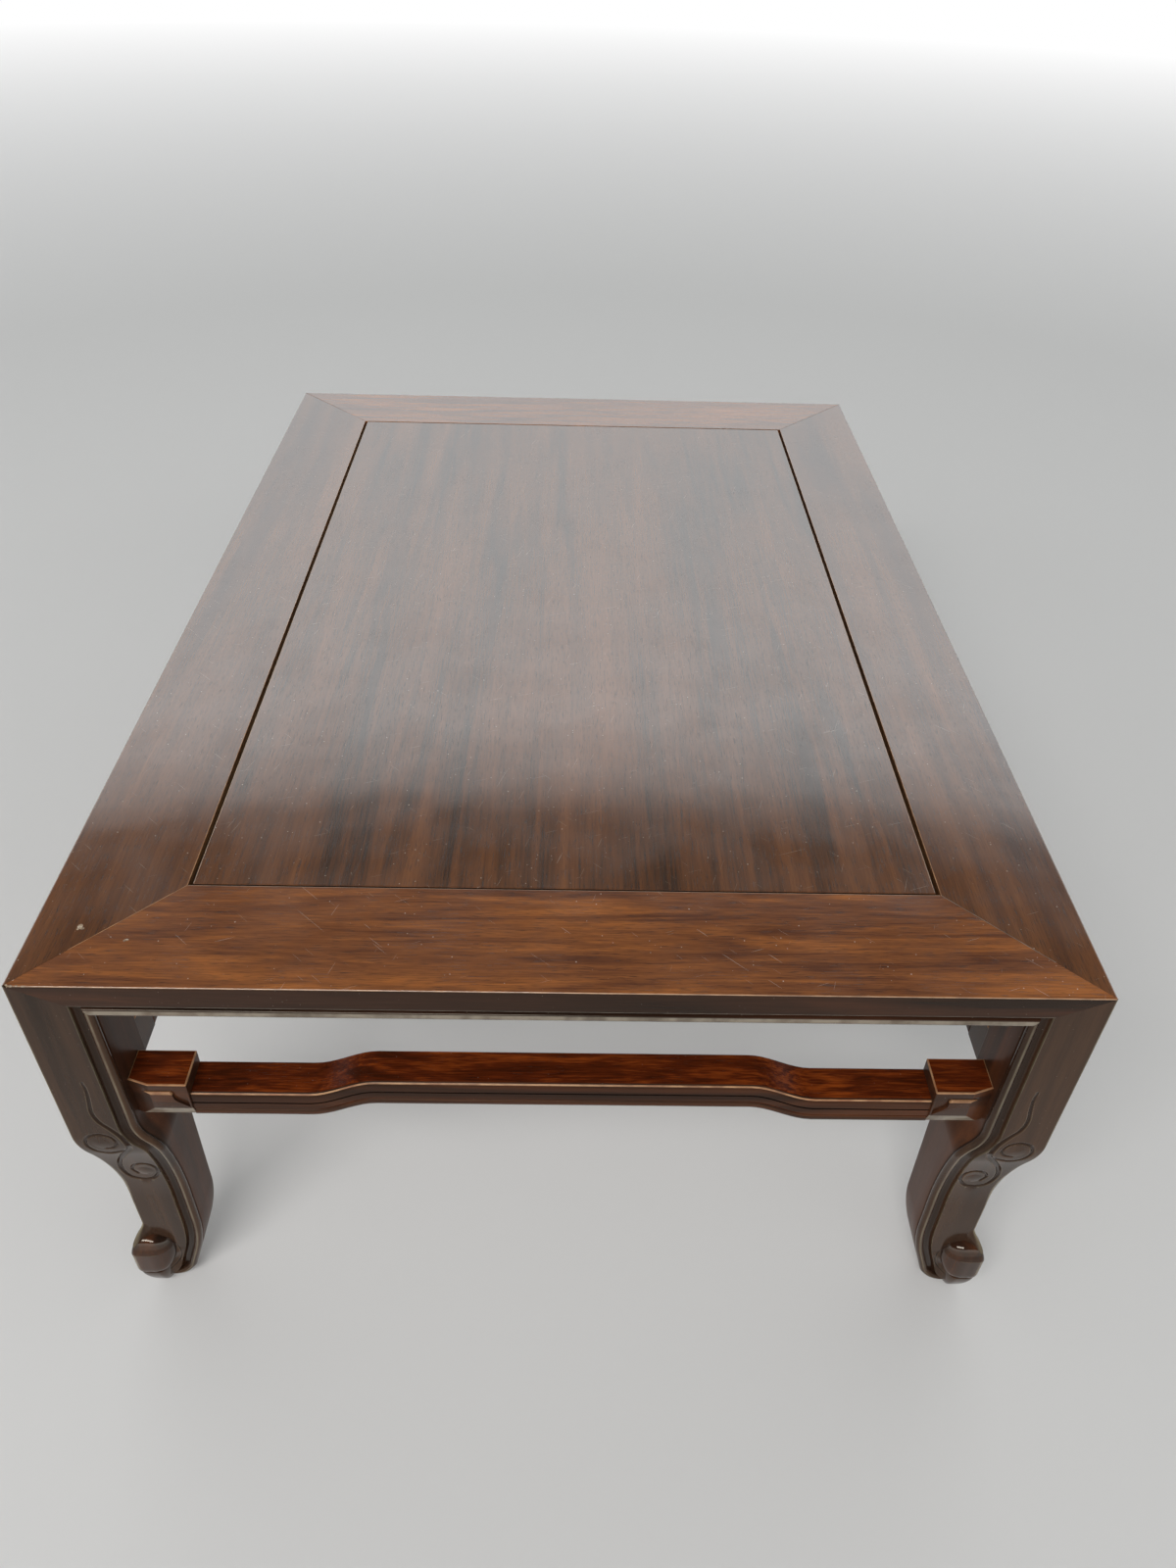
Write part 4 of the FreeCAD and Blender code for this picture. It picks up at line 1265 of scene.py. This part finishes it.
endSpan = 2 * halfWidth - 2 * legShape["width"]
sideSpan = 2 * halfLength - 2 * legShape["width"]
reachX = halfWidth - stretcherShape["setback"]
reachY = halfLength - stretcherShape["setback"]
level = stretcherShape["level"]
endBarWoods = (endStretcherWood, wornAndLitEndStretcher, shadedEdgeEndRail,
               highlightEndRail, shadeEndStretcher, gapShadeWood)
sideBarWoods = (sideStretcherWood, wornAndLitSideStretcher, shadedEdgeSideRail,
                highlightSideRail, shadeSideStretcher, gapShadeWood)
endBar = makeStretcher("stretcherFront", endSpan, stretcherShape["endRunStart"], endBarWoods)
sideBar = makeStretcher("stretcherRight", sideSpan, stretcherShape["sideRunStart"], sideBarWoods)
barPlaces = (
    (endBar, "stretcher_front", 0, (0, -reachY, level)),
    (copyPiece(endBar, "stretcherBack"), "stretcher_back", 180, (0, reachY, level)),
    (sideBar, "stretcher_right", 90, (reachX, 0, level)),
    (copyPiece(sideBar, "stretcherLeft"), "stretcher_left", 270, (-reachX, 0, level)),
)
for bar, node, turn, move in barPlaces:
    placePiece(bar, turn, move)
    finishPiece(bar, node)
print("stretchers made")

for name in ("batten_front", "batten_middle", "batten_back"):
    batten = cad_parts[name]
    batten.data.materials.clear()
    batten.data.materials.append(battenWood)
print("battens finished")


# studio: pale floor, a bright band of soft light round the horizon, darker overhead

studio = {
    "floorColour": (0.74, 0.72, 0.70, 1),
    "floorRadius": 40.0,
    "fadeStart": 1.6,  # the floor runs out into white from here
    "fadeEnd": 6.0,
    "lightBands": ((0.0, 1.10), (0.34, 1.25), (0.50, 2.00), (0.585, 2.45), (0.610, 2.20), (0.634, 1.8),
                   (0.655, 0.06)),  # sine of the height, brightness
    "lightTint": (0.96, 1.0, 1.02),
    "bandStretch": (0.55, 1, 1),  # makes the bands run straighter across
    "keyPower": 22.0,
    "keySize": (1.3, 0.3),
    "keyPlace": (-0.6, -1.6, 1.9),
    "keyAim": (0, 0, 0.15),
}


def makeFloor():
    clearSelection()
    bpy.ops.mesh.primitive_circle_add(vertices=96, radius=studio["floorRadius"], fill_type="NGON")
    floor = bpy.context.active_object
    floor.name = "studioFloor"
    paper = bpy.data.materials.new("studioPaper")
    paper.use_nodes = True
    tree = paper.node_tree
    skin = tree.nodes["Principled BSDF"]
    skin.inputs["Roughness"].default_value = 0.9
    skin.inputs["Base Color"].default_value = studio["floorColour"]
    white = addNode(tree, "ShaderNodeEmission")
    away = addNode(tree, "ShaderNodeVectorMath", operation="LENGTH")
    tree.links.new(addNode(tree, "ShaderNodeTexCoord").outputs["Object"], away.inputs[0])
    fade = addNode(tree, "ShaderNodeMixShader")
    share = remap(tree, away.outputs["Value"], studio["fadeStart"], studio["fadeEnd"])
    tree.links.new(share, fade.inputs[0])
    tree.links.new(skin.outputs[0], fade.inputs[1])
    tree.links.new(white.outputs[0], fade.inputs[2])
    tree.links.new(fade.outputs[0], tree.nodes["Material Output"].inputs[0])
    floor.data.materials.append(paper)


def makeSky():
    world = bpy.data.worlds.new("studioLight")
    bpy.context.scene.world = world
    world.use_nodes = True
    tree = world.node_tree
    tree.nodes.clear()
    output = addNode(tree, "ShaderNodeOutputWorld")
    glow = addNode(tree, "ShaderNodeBackground")
    tree.links.new(glow.outputs[0], output.inputs[0])
    way = addNode(tree, "ShaderNodeTexCoord").outputs["Generated"]
    narrow = addNode(tree, "ShaderNodeVectorMath", operation="MULTIPLY")
    narrow.inputs[1].default_value = studio["bandStretch"]
    tree.links.new(way, narrow.inputs[0])
    unit = addNode(tree, "ShaderNodeVectorMath", operation="NORMALIZE")
    tree.links.new(narrow.outputs[0], unit.inputs[0])
    parts = addNode(tree, "ShaderNodeSeparateXYZ")
    tree.links.new(unit.outputs[0], parts.inputs[0])
    ramp = addNode(tree, "ShaderNodeValToRGB")
    bands = studio["lightBands"]
    elements = ramp.color_ramp.elements
    elements[0].position = bands[0][0]
    elements[1].position = bands[-1][0]
    for height, brightness in bands[1:-1]:
        elements.new(height)
    for element, (height, brightness) in zip(elements, bands):
        element.color = [brightness * part for part in studio["lightTint"]] + [1]
    tree.links.new(parts.outputs[2], ramp.inputs[0])
    tree.links.new(ramp.outputs[0], glow.inputs[0])


def makeKeyLight():
    clearSelection()
    bpy.ops.object.light_add(type="AREA", location=studio["keyPlace"])
    key = bpy.context.active_object
    key.name = "keyLight"
    key.data.shape = "RECTANGLE"
    key.data.size, key.data.size_y = studio["keySize"]
    key.data.energy = studio["keyPower"]
    key.rotation_mode = "QUATERNION"
    aim = Vector(studio["keyAim"]) - Vector(studio["keyPlace"])
    key.rotation_quaternion = aim.to_track_quat("-Z", "Y")


cameraPlace = {
    "lens": 25.953,
    "location": (-0.000335, -0.66191, 0.64306),
    "right": (0.99971717, -0.00434232, 0.02338214),
    "forward": (0.01819166, 0.77290756, -0.63425781),
}


def makeCamera():
    view = bpy.data.cameras.new("photoView")
    camera = bpy.data.objects.new("photoView", view)
    bpy.context.scene.collection.objects.link(camera)
    view.lens = cameraPlace["lens"]
    view.clip_start = 0.01
    right = Vector(cameraPlace["right"]).normalized()
    forward = Vector(cameraPlace["forward"]).normalized()
    up = right.cross(forward)
    turn = Matrix((right, up, -forward)).transposed()
    camera.matrix_world = Matrix.Translation(cameraPlace["location"]) @ turn.to_4x4()
    bpy.context.scene.camera = camera


makeFloor()
makeSky()
makeKeyLight()
makeCamera()
bpy.context.scene.view_settings.view_transform = "Standard"
print("studio and camera set")
